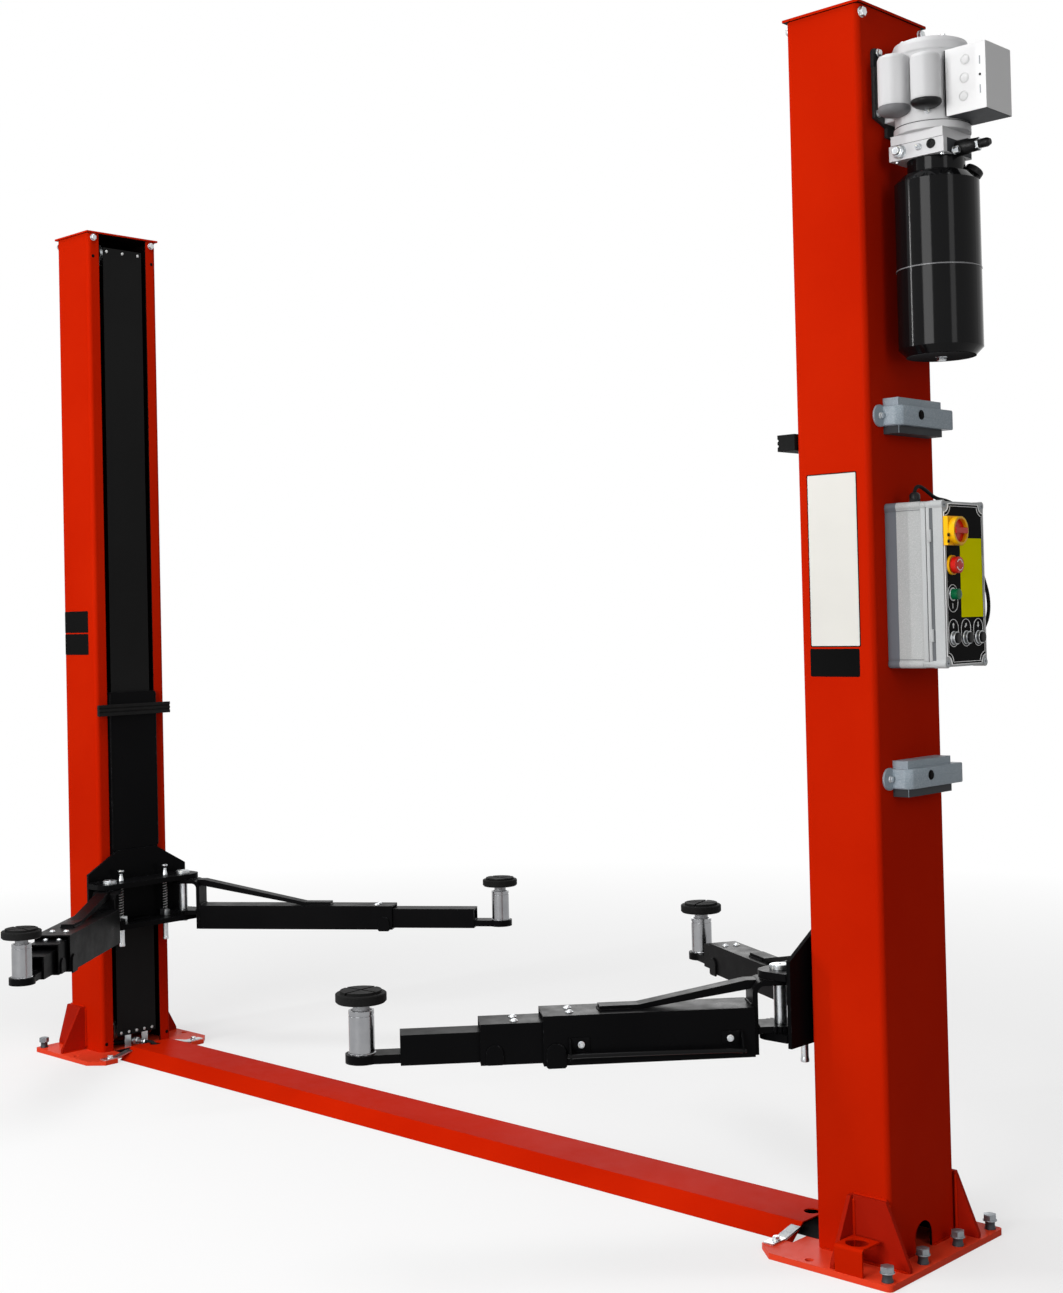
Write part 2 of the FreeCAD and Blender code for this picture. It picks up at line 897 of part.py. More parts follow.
    for end in ("front", "back"):
        sign = "-" if (end == "front") == (side == "right") else ""
        name = "lock_%s_%s" % (end, side)
        rod_x = FACE + " - rod_in"
        rod_y = sign + "rod_row"
        bar = rod(
            name + "_bar",
            rod_x,
            rod_y,
            "-rod_below",
            "rod_radius",
            "rod_below + hinge_low + hinge_thick + lug_thick",
        )
        neck = rod(
            name + "_neck",
            rod_x,
            rod_y,
            "hinge_low + hinge_thick",
            "rod_neck",
            "hinge_high - hinge_low + running_gap + 1",
        )
        knob_points = [
            ("0", "0"),
            ("rod_radius", "0"),
            ("knob_waist", "knob_height * 0.45"),
            ("knob_waist", "knob_height * 0.65"),
            ("knob_rim", "knob_height - knob_rim_height"),
            ("knob_rim", "knob_height"),
            ("0", "knob_height"),
        ]
        knob_z = "hinge_high + hinge_thick + running_gap"
        knob = turned(name + "_knob", knob_points, rod_x, rod_y, knob_z)
        block_y = "-rod_row - rod_radius - block_rise"
        if not sign:
            block_y = "rod_row - rod_radius - block_rise"
        blank = box(
            name + "_blank",
            rod_x + " - rod_radius - block_play",
            block_y,
            "hinge_low + hinge_thick",
            "2 * rod_radius + 2 * block_play",
            "2 * rod_radius + 2 * block_rise",
            "lug_thick + block_rise",
        )
        swept = rod(
            name + "_swept",
            FACE + " - pin_in",
            sign + "pin_row",
            "hinge_low + hinge_thick",
            "tooth_ring + tooth_gap",
            "lug_thick + 10",
        )
        block = cut(name + "_block", blank, [swept])
        done(fuse(name, [bar, neck, knob, block]), "lock_rod_%s_%s" % (side, end), side, lift)


# Ribbed rubber bumpers
def bumper(name, x, z, thick):
    """A bar with three ribs along it."""
    bar = box(name + "_bar", x, "-bumper_half", z, thick, "2 * bumper_half", "bumper_height")
    grooves = []
    for i in range(2):
        groove = rod(
            name + "_groove%d" % i,
            x,
            "-bumper_half - 5",
            z + " + bumper_height * %d / 3" % (i + 1),
            "3",
            "2 * bumper_half + 10",
            "Y",
        )
        grooves.append(groove)
    return cut(name, bar, grooves)


left_bumper = bumper(
    "bumper_moving",
    FACE + " - front_gap - front_plate - 14",
    "bumper_low",
    "14",
)
done(left_bumper, "bumper_left", "left", "lift_left")
stop_bar = bumper("bumper_fixed", FACE + " - 48", "stop_low", "30")
stop_feet = []
for i, start in enumerate(("cheek_out + 6", "-bumper_half")):
    stop_feet.append(
        box(
            "stop_foot_%d" % i,
            FACE + " - 18",
            start,
            "stop_low",
            "18",
            "bumper_half - cheek_out - 6",
            "bumper_height",
        )
    )
right_bumper = fuse("bumper_bridge", [stop_bar] + stop_feet)
done(right_bumper, "bumper_right")


def sleeve(name, start, end, across, low, wall):
    """A square tube along the arm."""
    outside = box(
        name + "_outside",
        start,
        "-(" + across + ") / 2",
        low,
        "(" + end + ") - (" + start + ")",
        across,
        across,
    )
    inside = box(
        name + "_inside",
        start + " - 5",
        "-(" + across + ") / 2 + " + wall,
        low + " + " + wall,
        "(" + end + ") - (" + start + ") + 10",
        across + " - 2 * " + wall,
        across + " - 2 * " + wall,
    )
    return cut(name, outside, [inside])


def toothed_ring(name):
    """A round lug whose rim is cut into teeth, drawn about the hinge pin."""
    body = doc.addObject("PartDesign::Body", name)
    ground = [part for part in body.Origin.OriginFeatures if part.Role == "XY_Plane"][0]
    upright_axis = [part for part in body.Origin.OriginFeatures if part.Role == "Z_Axis"][0]
    outline = body.newObject("Sketcher::SketchObject", name + "_outline")
    outline.AttachmentSupport = [(ground, "")]
    outline.MapMode = "FlatFace"
    outline.addGeometry(Part.Circle(Vector(), Vector(0, 0, 1), 50), False)
    outline.addConstraint(Sketcher.Constraint("Coincident", 0, 3, -1, 1))
    size = outline.addConstraint(Sketcher.Constraint("Radius", 0, 50))
    outline.setExpression("Constraints[%d]" % size, link("tooth_ring"))
    disc = body.newObject("PartDesign::Pad", name + "_disc")
    disc.Profile = outline
    bind(disc, "Length", "lug_thick")
    notch = body.newObject("Sketcher::SketchObject", name + "_notch")
    notch.AttachmentSupport = [(ground, "")]
    notch.MapMode = "FlatFace"
    tips = [("tooth_ring - tooth_depth", "0"), ("tooth_ring + 2", "5"), ("tooth_ring + 2", "-5")]
    first = [Vector(45, 0, 0), Vector(52, 5, 0), Vector(52, -5, 0)]
    for i in range(3):
        notch.addGeometry(Part.LineSegment(first[i], first[(i + 1) % 3]), False)
    for i in range(3):
        notch.addConstraint(Sketcher.Constraint("Coincident", i, 2, (i + 1) % 3, 1))
    for i in range(3):
        across = notch.addConstraint(Sketcher.Constraint("DistanceX", -1, 1, i, 1, first[i].x))
        notch.setExpression("Constraints[%d]" % across, link(tips[i][0]))
        up = notch.addConstraint(Sketcher.Constraint("DistanceY", -1, 1, i, 1, first[i].y))
        notch.setExpression("Constraints[%d]" % up, link(tips[i][1]))
    gap = body.newObject("PartDesign::Pocket", name + "_gap")
    gap.Profile = notch
    gap.Type = "ThroughAll"
    gap.Midplane = True
    teeth = body.newObject("PartDesign::PolarPattern", name + "_teeth")
    teeth.Originals = [gap]
    teeth.Axis = (upright_axis, [""])
    teeth.Angle = 360
    bind(teeth, "Occurrences", "tooth_count")
    body.Tip = teeth
    place(body, "0", "0", "hinge_low + hinge_thick + running_gap")
    return body


# Swing arms, each with its sliding stages, foot, adapter and pad
ARMS = (
    ("right_front", "right", "-", "rf", "big"),
    ("left_front", "left", "-", "lf", "big"),
    ("right_rear", "right", "", "rr", "rear"),
    ("left_rear", "left", "", "lr", "rear"),
)
for arm, side, row_sign, short, kind in ARMS:
    pivot_x = "(column_gap / 2 - pin_in)"
    if side == "left":
        pivot_x = "-" + pivot_x
    pivot_y = row_sign + "pin_row"
    lift = "lift_" + side
    turn = "swing_" + short
    reach = "reach_" + short
    tube = "tube_" + kind
    outer_end = "front_outer_end" if kind == "big" else "rear_outer_end"

    def set_arm(thing, label):
        """Turns a finished arm piece about its hinge pin."""
        thing.Placement = FreeCAD.Placement(Vector(), Rotation(Vector(0, 0, 1), 10))
        place(thing, pivot_x, pivot_y, lift)
        bind(thing, "Placement.Rotation.Angle", turn)
        done(thing, label, "placed")

    outer = sleeve(arm + "_outer", "tube_start", outer_end, tube, "0", "tube_wall")
    strap_top = "hinge_high - strap_drop"
    strap_points = [
        ("tube_start - strap_thick", "0"),
        ("tube_start", "0"),
        ("tube_start", strap_top),
        ("0", strap_top),
        ("0", strap_top + " - strap_thick"),
        ("tube_start - strap_thick", strap_top + " - strap_thick"),
    ]
    strap = prism(arm + "_strap", "XZ", strap_points, "2 * strap_half", y="-strap_half")
    bend_z = DIMS["hinge_high"] - DIMS["strap_drop"]
    bend_x = DIMS["tube_start"]
    for layer, radius in ((0, "strap_round"), (1, "strap_round - strap_thick")):
        corner_x = bend_x - layer * DIMS["strap_thick"]
        corner_z = bend_z - layer * DIMS["strap_thick"]
        rounded(
            strap,
            "%s_strap_bend_%d" % (arm, layer),
            radius,
            lambda edge: crosswise(edge)
            and abs(edge.CenterOfMass.x - corner_x) < 0.5
            and abs(edge.CenterOfMass.z - corner_z) < 0.5,
        )
    strap_eye = rod(
        arm + "_strap_eye", "0", "0", strap_top + " - strap_thick", "strap_half", "strap_thick"
    )
    lug_bar = box(
        arm + "_lug",
        "0",
        "-lug_half",
        "hinge_low + hinge_thick + running_gap",
        "tube_start - strap_thick",
        "2 * lug_half",
        "lug_thick",
    )
    lug_eye = toothed_ring(arm + "_lug_eye")
    run = "brace_run_front" if kind == "big" else "brace_run_rear"
    brace_points = [
        ("tube_start", strap_top + " - 2 * brace_thick"),
        ("tube_start - strap_round / 2", strap_top),
        ("tube_start + brace_thick", strap_top),
        ("tube_start + " + run, tube + " + brace_thick"),
        ("tube_start + " + run + " + brace_foot", tube + " + brace_thick"),
        ("tube_start + " + run + " + brace_foot", tube),
        ("tube_start + " + run + " - brace_thick", tube),
    ]
    brace = prism(arm + "_brace", "XZ", brace_points, "2 * brace_half", y="-brace_half")
    eye_hole = rod(arm + "_eye_hole", "0", "0", "0", "pin_radius + 0.05", "hinge_high + 20")
    parts = [outer, strap, strap_eye, lug_bar, lug_eye, brace]
    outer_shape = cut(arm + "_outer_shape", fuse(arm + "_outer_blank", parts), [eye_hole])
    set_arm(outer_shape, "arm_outer_" + arm)

    inner_low = "tube_wall + running_gap"
    small_tube = TUBE_REAR_SMALL
    if kind == "big":
        small_tube = TUBE_SMALL
        middle_end = "middle_" + short
        middle_start = middle_end + " - middle_length"
        stage = sleeve(
            arm + "_middle", middle_start, middle_end, TUBE_MIDDLE, inner_low, "tube_wall"
        )
        set_arm(stage, "arm_middle_" + arm)
        inner_low = "2 * tube_wall + 2 * running_gap"
    inner_end = reach + " - foot_reach"
    inner_length = "small_front_length" if kind == "big" else "small_rear_length"
    inner_start = inner_end + " - " + inner_length
    small = sleeve(arm + "_small", inner_start, inner_end, small_tube, inner_low, "tube_wall")
    foot_low = inner_low + " + tube_wall"
    foot_bar = box(
        arm + "_foot_bar",
        inner_end + " - 60",
        "-(" + small_tube + " / 2 - tube_wall)",
        foot_low,
        "foot_reach + 60",
        small_tube + " - 2 * tube_wall",
        "foot_thick",
    )
    foot_eye = rod(arm + "_foot_eye", reach, "0", foot_low, "foot_radius", "foot_thick")
    socket = rod(
        arm + "_socket", reach, "0", foot_low + " - 5", "screw_radius + 0.1", "foot_thick + 10"
    )
    inner_shape = cut(
        arm + "_inner_shape", fuse(arm + "_inner_blank", [small, foot_bar, foot_eye]), [socket]
    )
    set_arm(inner_shape, "arm_inner_" + arm)

    # the adapter is a tube on a spigot, with a shallow groove below its mouth
    mouth = "foot_thick + post_height"
    adapter_points = [
        ("0", "1"),
        ("screw_radius", "1"),
        ("screw_radius", "foot_thick"),
        ("post_radius", "foot_thick"),
        ("post_radius", mouth + " - post_groove_low - post_groove"),
        ("post_radius - post_groove / 2", mouth + " - post_groove_low - post_groove"),
        ("post_radius - post_groove / 2", mouth + " - post_groove_low"),
        ("post_radius", mouth + " - post_groove_low"),
        ("post_radius", mouth),
        ("0", mouth),
    ]
    barrel = turned(arm + "_barrel", adapter_points, reach, "0", foot_low)
    bore = rod(
        arm + "_bore",
        reach,
        "0",
        foot_low + " + " + mouth + " - screw_length - 5",
        "screw_radius + 0.05",
        "screw_length + 10",
    )
    set_arm(cut(arm + "_adapter", barrel, [bore]), "adapter_" + arm)

    # the pad has a screw, a thin neck and a dished plate with four raised blocks
    pad_low = "(" + foot_low + " + foot_thick + post_height)"
    plate_low = "screw_length + pad_neck"
    plate_rim = plate_low + " + pad_thick - pad_block_height"
    pad_points = [
        ("0", "0"),
        ("screw_radius", "0"),
        ("screw_radius", "screw_length"),
        ("pad_neck_radius", "screw_length"),
        ("pad_neck_radius", plate_low),
        ("pad_radius - pad_bevel", plate_low),
        ("pad_radius", plate_low + " + pad_bevel"),
        ("pad_radius", plate_rim + " - pad_bevel / 2"),
        ("pad_radius - pad_bevel / 2", plate_rim),
        ("pad_block_radius", plate_rim),
        ("pad_block_radius", plate_low + " + pad_thick"),
        ("0", plate_low + " + pad_thick"),
    ]
    pad_blank = turned(arm + "_pad_blank", pad_points, reach, "0", pad_low + " - screw_length")
    channels = []
    for lean in ("", "-"):
        channel_points = [
            (reach + " - pad_radius", "-(" + lean + "pad_radius) - pad_channel * 0.707"),
            (reach + " + pad_radius", "(" + lean + "pad_radius) - pad_channel * 0.707"),
            (reach + " + pad_radius", "(" + lean + "pad_radius) + pad_channel * 0.707"),
            (reach + " - pad_radius", "-(" + lean + "pad_radius) + pad_channel * 0.707"),
        ]
        channels.append(
            prism(
                "%s_pad_channel_%d" % (arm, len(channels)),
                "XY",
                channel_points,
                "pad_block_height + 5",
                z=pad_low + " + pad_neck + pad_thick - pad_block_height",
            )
        )
    set_arm(cut(arm + "_pad", pad_blank, channels), "pad_" + arm)

# Power unit on the outer face of the right column
unit_x = BACK + " + unit_out"
motor_tall = "motor_high - motor_low"
can_points = [
    ("0", "0"),
    ("motor_radius", "0"),
    ("motor_radius", "motor_flange"),
    ("motor_radius - motor_step", "motor_flange + motor_step"),
    ("motor_radius - motor_step", motor_tall + " - motor_bell - motor_step"),
    ("motor_radius", motor_tall + " - motor_bell"),
    ("motor_radius", motor_tall + " - motor_round"),
    ("motor_radius - motor_round * 0.3", motor_tall + " - motor_round * 0.3"),
    ("motor_radius - motor_round", motor_tall),
    ("0", motor_tall),
]
can = turned("motor_can", can_points, unit_x, "0", "motor_low")
back_points = [
    ("motor_back_half", "motor_low + motor_back_low"),
    ("motor_back_half", "motor_high - motor_back_high"),
    ("-motor_back_side", "motor_high - motor_back_high"),
    ("-motor_back_side", "motor_low + motor_back_step + 14"),
    ("-40", "motor_low + motor_back_step"),
    ("-40", "motor_low + motor_back_low"),
]
back_plate = prism("motor_back", "YZ", back_points, "motor_back_thick", x=BACK)
bridge = box(
    "motor_bridge",
    BACK,
    "-50",
    "motor_low + 40",
    "unit_out",
    "100",
    "motor_high - motor_low - 80",
)
cans = []
for can_name in ("start_can", "run_can"):
    can_wall = can_name + "_radius"
    can_tall = can_name + "_height"
    shell_points = [
        ("0", "0"),
        (can_wall + " - can_round", "0"),
        (can_wall + " - can_round * 0.3", "can_round * 0.3"),
        (can_wall, "can_round"),
        (can_wall, can_tall + " - can_round"),
        (can_wall + " - can_round * 0.3", can_tall + " - can_round * 0.3"),
        (can_wall + " - can_round", can_tall),
        ("0", can_tall),
    ]
    shell_x = BACK + " + " + can_name + "_out"
    cans.append(turned(can_name, shell_points, shell_x, "-can_row", "motor_low + can_low"))
motor = fuse("motor_shape", [can, back_plate, bridge] + cans)
done(motor, "motor")
terminal = box(
    "terminal_shape",
    BACK + " + terminal_out",
    "-terminal_side",
    "motor_low + terminal_low",
    "terminal_depth",
    "terminal_width",
    "terminal_height",
)
terminal_cut = rod(
    "terminal_cut",
    unit_x,
    "0",
    "motor_low - 30",
    "motor_radius - motor_step + running_gap",
    "300",
)
done(cut("terminal_box_shape", terminal, [terminal_cut]), "terminal_box")
upper = box(
    "block_upper",
    unit_x + " - block_half",
    "-block_front + 1",
    "motor_low - upper_block",
    "2 * block_half",
    "block_front + block_back",
    "upper_block",
)
lower = box(
    "block_lower",
    unit_x + " - block_half - 4",
    "-block_front",
    "motor_low - upper_block - lower_block",
    "2 * block_half + 6",
    "block_front + block_back",
    "lower_block",
)
block_low = "(motor_low - upper_block - lower_block)"
done(fuse("pump_block_shape", [upper, lower]), "pump_block")
tank_x = unit_x + " + tank_shift"
tank_points = [
    ("0", "0"),
    ("tank_radius - tank_round", "0"),
    ("tank_radius", "tank_round"),
    ("tank_radius", "tank_high - tank_low - tank_round"),
    ("tank_radius - tank_round", "tank_high - tank_low"),
    ("tank_neck", "tank_high - tank_low"),
    ("tank_neck", block_low + " - tank_low"),
    ("0", block_low + " - tank_low"),
]
done(turned("tank_shape", tank_points, tank_x, "0", "tank_low"), "oil_tank")
valve_x = unit_x + " + block_half + 2"
valve_z = block_low + " + valve_high"
valve = rod("valve_body", valve_x, "-valve_row", valve_z, "valve_radius", "valve_length", "X")
lever = rod(
    "lever_bar",
    valve_x + " + valve_length - 2",
    "-valve_row",
    valve_z,
    "lever_radius",
    "lever_length",
    "X",
)
done(fuse("lever_shape", [valve, lever]), "release_lever")

# Covers of the lock gear on the outer face of the right column
lids = []
for i, level in enumerate(("lid_high", "lid_low")):
    block = box(
        "lid_block_%d" % i,
        BACK,
        "-lid_front",
        level + " - lid_height / 2",
        "lid_depth",
        "lid_width",
        "lid_height",
    )
    strap_points = [
        (BACK, "strap_end"),
        (BACK, "-ear_row"),
        (BACK + " + ear_thick", "-ear_row"),
        (BACK + " + ear_thick", "-ear_row + ear_step"),
        (BACK + " + ear_rise", "-ear_row + ear_step"),
        (BACK + " + lid_depth + lid_stand", "-ear_shoulder"),
        (BACK + " + lid_depth + lid_stand", "strap_end"),
    ]
    strap_low = level + " - strap_height / 2"
    strap = prism("lid_strap_%d" % i, "XY", strap_points, "strap_height", z=strap_low)
    ear = rod("lid_ear_%d" % i, BACK, "-ear_row", level, "ear_radius", "ear_thick", "X")
    lids.append(fuse("lid_%d" % i, [block, strap, ear]))
lid_pair = doc.addObject("Part::Compound", "lid_pair")
lid_pair.Links = lids
done(lid_pair, "lock_covers")

# Control box with its door, switch and buttons
def housing(name, start, depth):
    """A block with a round post along each of its four long edges."""
    core = box(
        name + "_core",
        start,
        "box_front + box_step",
        "box_low + box_step",
        depth,
        "box_width - 2 * box_step",
        "box_height - 2 * box_step",
    )
    solids = [core]
    for y in ("box_front + box_post", "box_front + box_width - box_post"):
        for z in ("box_low + box_post", "box_low + box_height - box_post"):
            post_name = name + "_post%d" % len(solids)
            solids.append(rod(post_name, start, y, z, "box_post", depth, "X"))
    return fuse(name, solids)


case_hollow = box(
    "case_inside",
    BACK + " + 3",
    "box_front + 2 * box_post",
    "box_low + 2 * box_post",
    "box_depth",
    "box_width - 4 * box_post",
    "box_height - 4 * box_post",
)
done(cut("case_shape", housing("case", BACK, "box_depth"), [case_hollow]), "control_box")
door_x = BACK + " + box_depth"
front_x = door_x + " + door_thick"
door = housing("door", door_x, "door_thick")
spots = [
    ("stop_button", "stop_row", "stop_high", "stop_radius", "stop_stand"),
    ("start_button", "button_row", "start_high", "start_radius", "start_stand"),
    ("up_button", "button_row", "button_low", "button_radius", "button_stand"),
    ("hold_button", "button_row + button_pitch", "button_low", "button_radius", "button_stand"),
    ("down_button", "button_row + 2 * button_pitch", "button_low", "button_radius", "button_stand"),
]
knobs = []
shafts = []
for name, across, up, radius, stand in spots:
    y = "box_front + " + across
    z = "box_low + " + up
    inside = "button_in"
    hole_radius = radius
    if name == "stop_button":
        inside = "stop_in"
        hole_radius = "stop_stem"
    start = front_x + " - " + inside
    shafts.append(
        rod(
            name + "_hole",
            start + " - 8",
            y,
            z,
            hole_radius + " + knob_hole_play",
            inside + " + 18",
            "X",
        )
    )
    if name == "stop_button":
        stem = rod(name + "_stem", start, y, z, "stop_stem", "stop_in + stop_stand - 9", "X")
        head = rod(name + "_head", front_x + " + 8", y, z, radius, stand + " - 8", "X")
        knobs.append((fuse(name + "_shape", [stem, head]), name))
    else:
        knobs.append((rod(name + "_shape", start, y, z, radius, "button_in + " + stand, "X"), name))
switch_y = "(box_front + switch_row)"
switch_z = "(box_low + switch_high)"
shaft_bore = "shaft_radius + 0.05"
guard_plate = box(
    "guard_plate",
    front_x,
    switch_y + " - guard_half",
    switch_z + " - guard_half",
    "guard_thick",
    "2 * guard_half",
    "2 * guard_half",
)
drum = rod("guard_drum", front_x, switch_y, switch_z, "drum_radius", "drum_stand", "X")
recess = rod(
    "guard_recess",
    front_x + " + drum_stand - dial_sink",
    switch_y,
    switch_z,
    "dial_radius + knob_hole_play",
    "20",
    "X",
)
guard_bore = rod("guard_bore", front_x + " - 1", switch_y, switch_z, shaft_bore, "40", "X")
guard = cut("guard_shape", fuse("guard_blank", [guard_plate, drum]), [recess, guard_bore])
done(guard, "switch_guard")
shafts.append(rod("switch_hole", front_x + " - 20", switch_y, switch_z, shaft_bore, "30", "X"))
dial_x = front_x + " + drum_stand - dial_sink + running_gap"
dial = rod("dial_disc", dial_x, switch_y, switch_z, "dial_radius", "dial_thick", "X")
handle = box(
    "dial_handle",
    dial_x,
    switch_y + " - dial_radius + 1",
    switch_z + " - handle_half",
    "handle_stand",
    "2 * dial_radius - 2",
    "2 * handle_half",
)
dial_stem = rod(
    "dial_stem",
    front_x + " - 18",
    switch_y,
    switch_z,
    "shaft_radius",
    "20 + drum_stand - dial_sink",
    "X",
)
done(fuse("switch_shape", [dial, handle, dial_stem]), "main_switch")
done(cut("door_shape", door, shafts), "control_door")
for shape, name in knobs:
    done(shape, name)

doc.recompute()
for thing in doc.Objects:
    if "Invalid" in thing.State or "Error" in thing.State:
        raise RuntimeError("not built: " + thing.Label)
for piece in pieces:
    if piece.Shape.isNull() or not piece.Shape.isValid():
        raise RuntimeError("bad shape: " + piece.Label)
    piece.Shape.exportStep("parts/" + piece.Label + ".step")
print(len(pieces), "pieces written")
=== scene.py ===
import json
import math

import bmesh
import bpy
from mathutils import Matrix, Vector

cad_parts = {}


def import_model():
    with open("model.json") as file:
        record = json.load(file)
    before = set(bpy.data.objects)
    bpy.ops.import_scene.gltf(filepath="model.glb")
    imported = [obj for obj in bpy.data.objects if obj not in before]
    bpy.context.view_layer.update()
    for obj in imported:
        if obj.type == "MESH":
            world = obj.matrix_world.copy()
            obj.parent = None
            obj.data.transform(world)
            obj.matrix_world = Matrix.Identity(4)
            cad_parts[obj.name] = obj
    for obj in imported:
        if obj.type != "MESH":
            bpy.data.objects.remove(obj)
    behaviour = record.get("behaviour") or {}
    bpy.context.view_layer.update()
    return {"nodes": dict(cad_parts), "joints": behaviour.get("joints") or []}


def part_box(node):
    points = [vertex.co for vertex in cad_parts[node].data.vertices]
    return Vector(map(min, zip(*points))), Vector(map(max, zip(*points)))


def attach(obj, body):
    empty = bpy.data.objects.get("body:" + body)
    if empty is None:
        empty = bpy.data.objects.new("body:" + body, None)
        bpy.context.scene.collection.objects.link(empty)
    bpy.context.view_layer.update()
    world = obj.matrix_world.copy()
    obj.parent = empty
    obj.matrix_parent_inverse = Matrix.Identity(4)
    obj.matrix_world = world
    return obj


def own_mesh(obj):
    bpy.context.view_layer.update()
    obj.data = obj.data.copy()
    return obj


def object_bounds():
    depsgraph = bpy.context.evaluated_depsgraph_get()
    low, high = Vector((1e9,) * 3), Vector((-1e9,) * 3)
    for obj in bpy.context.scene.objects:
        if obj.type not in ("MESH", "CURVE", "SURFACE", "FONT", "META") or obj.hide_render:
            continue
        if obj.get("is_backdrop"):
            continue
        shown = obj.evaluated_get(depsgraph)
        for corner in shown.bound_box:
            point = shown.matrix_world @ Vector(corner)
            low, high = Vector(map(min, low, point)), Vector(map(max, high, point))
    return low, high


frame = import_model()
MM = 0.001
OUT = (1, 0, 0)
INWARD = (-1, 0, 0)
ACROSS = (0, 1, 0)
FORWARD = (0, -1, 0)
UP = (0, 0, 1)
DOWN = (0, 0, -1)
JOINTS = {joint["name"]: joint for joint in frame["joints"]}


# Materials

class Shade:
    """A node tree whose patterns lie in object coordinates, in metres."""

    def __init__(self, name):
        self.material = bpy.data.materials.new(name)
        self.material.use_nodes = True
        self.tree = self.material.node_tree
        self.shader = self.tree.nodes["Principled BSDF"]
        self.place = self.node("ShaderNodeTexCoord", "Object")

    def join(self, source, target):
        """Links an output to an input, or gives the input a number, a scale or a colour."""
        if isinstance(source, (int, float)):
            target.default_value = source
        elif isinstance(source, tuple):
            target.default_value = (*source, 1.0)[:len(target.default_value)]
        else:
            self.tree.links.new(source, target)

    def node(self, kind, output, values=None, **settings):
        """One output of a new node."""
        made = self.tree.nodes.new(kind)
        for key, value in settings.items():
            setattr(made, key, value)
        for key, value in (values or {}).items():
            self.join(value, made.inputs[key])
        return made.outputs[output]

    def noise(self, scale, detail=2.0, stretch=(1, 1, 1), rough=0.55):
        vector = self.node("ShaderNodeMapping", "Vector", {"Scale": stretch, "Vector": self.place})
        values = {"Vector": vector, "Scale": scale, "Detail": detail, "Roughness": rough}
        return self.node("ShaderNodeTexNoise", "Fac", values)

    def spread(self, value, low, high, to_low=0.0, to_high=1.0):
        ends = {"From Min": low, "From Max": high, "To Min": to_low, "To Max": to_high}
        return self.node("ShaderNodeMapRange", "Result", {"Value": value, **ends})

    def maths(self, operation, first, second=0.5):
        return self.node("ShaderNodeMath", "Value", {0: first, 1: second}, operation=operation)

    def times(self, first, second):
        return self.maths("MULTIPLY", first, second)

    def opposite(self, share):
        return self.maths("SUBTRACT", 1.0, share)

    def dot(self, first, second):
        values = {0: first, 1: second}
        return self.node("ShaderNodeVectorMath", "Value", values, operation="DOT_PRODUCT")

    def blend(self, share, first, second):
        values = {"Factor": share, "A": first, "B": second}
        return self.node("ShaderNodeMix", "Result", values, data_type="RGBA")

    def along(self, axis):
        return self.node("ShaderNodeSeparateXYZ", axis, {"Vector": self.place})

    def beyond(self, axis, limit):
        """1 where the place along an axis is past the limit, else 0."""
        return self.spread(self.along(axis), limit - 0.0004, limit + 0.0004)

    def turned_out(self, depth):
        """0 on faces turned down or towards the upright line at that X distance, else 1."""
        x = self.along("X")
        gap = self.maths("SUBTRACT", self.times(self.maths("SIGN", x), depth), x)
        values = {"X": gap, "Y": self.times(self.along("Y"), -1.0), "Z": -0.02}
        reach = self.node("ShaderNodeCombineXYZ", "Vector", values)
        facing = self.dot(reach, self.node("ShaderNodeNewGeometry", "True Normal"))
        return self.spread(facing, 0.004, 0.008, 1.0, 0.0)

    def rounded_normal(self, radius):
        return self.node("ShaderNodeBevel", "Normal", {"Radius": radius}, samples=3)

    def edges(self, rounded):
        """1 on the edges of the form and 0 on its flats."""
        flat = self.node("ShaderNodeNewGeometry", "Normal")
        return self.spread(self.dot(rounded, flat), 0.9, 0.995, 1.0, 0.0)

    def bumps(self, height, depth, normal):
        values = {"Distance": depth, "Height": height, "Normal": normal}
        return self.node("ShaderNodeBump", "Normal", values)

    def recolour(self, share, colour):
        """Another base colour where share is 0."""
        base = self.shader.inputs["Base Color"]
        self.join(self.blend(share, srgb(colour), base.links[0].from_socket), base)


def srgb(colour):
    """A colour as a screen shows it, from 0 to 255, as linear light."""
    values = []
    for part in colour:
        part /= 255
        values.append(part / 12.92 if part <= 0.04045 else ((part + 0.055) / 1.055) ** 2.4)
    return tuple(values)


def coated(
    name, colour, shade, rough=(0.32, 0.42), specular=0.25, metallic=0.0, grain=320, depth=0.00004,
    round_edge=0.0016, worn=None, fleck=None
):
    """A surface with slow colour clouds, a fine grain, softened edges and some edge wear, which on the
    gussets is also a painted highlight.
    """
    look = Shade(name)
    clouds = look.spread(look.noise(2.5, 3.0), 0.35, 0.65)
    tint = look.blend(clouds, srgb(colour), srgb(shade))
    if fleck:
        fleck_colour, fleck_scale, share = fleck
        dots = look.spread(look.noise(fleck_scale, 1.0), 0.5, 0.68, 0.0, share)
        tint = look.blend(dots, tint, srgb(fleck_colour))
    rounded = look.rounded_normal(round_edge)
    if worn:
        edge_spots = look.spread(look.noise(90, 3.0), 0.56, 0.66)
        tint = look.blend(look.times(look.edges(rounded), edge_spots), tint, srgb(worn))
    look.join(tint, look.shader.inputs["Base Color"])
    smear = look.noise(14, 3.0, rough=0.7)
    look.join(look.spread(smear, 0.3, 0.7, *rough), look.shader.inputs["Roughness"])
    look.join(look.bumps(look.noise(grain, 1.0), depth, rounded), look.shader.inputs["Normal"])
    look.shader.inputs["Metallic"].default_value = metallic
    look.shader.inputs["Specular IOR Level"].default_value = specular
    return look


def paint(*colours, **finish):
    """The material of a coated look."""
    return coated(*colours, **finish).material


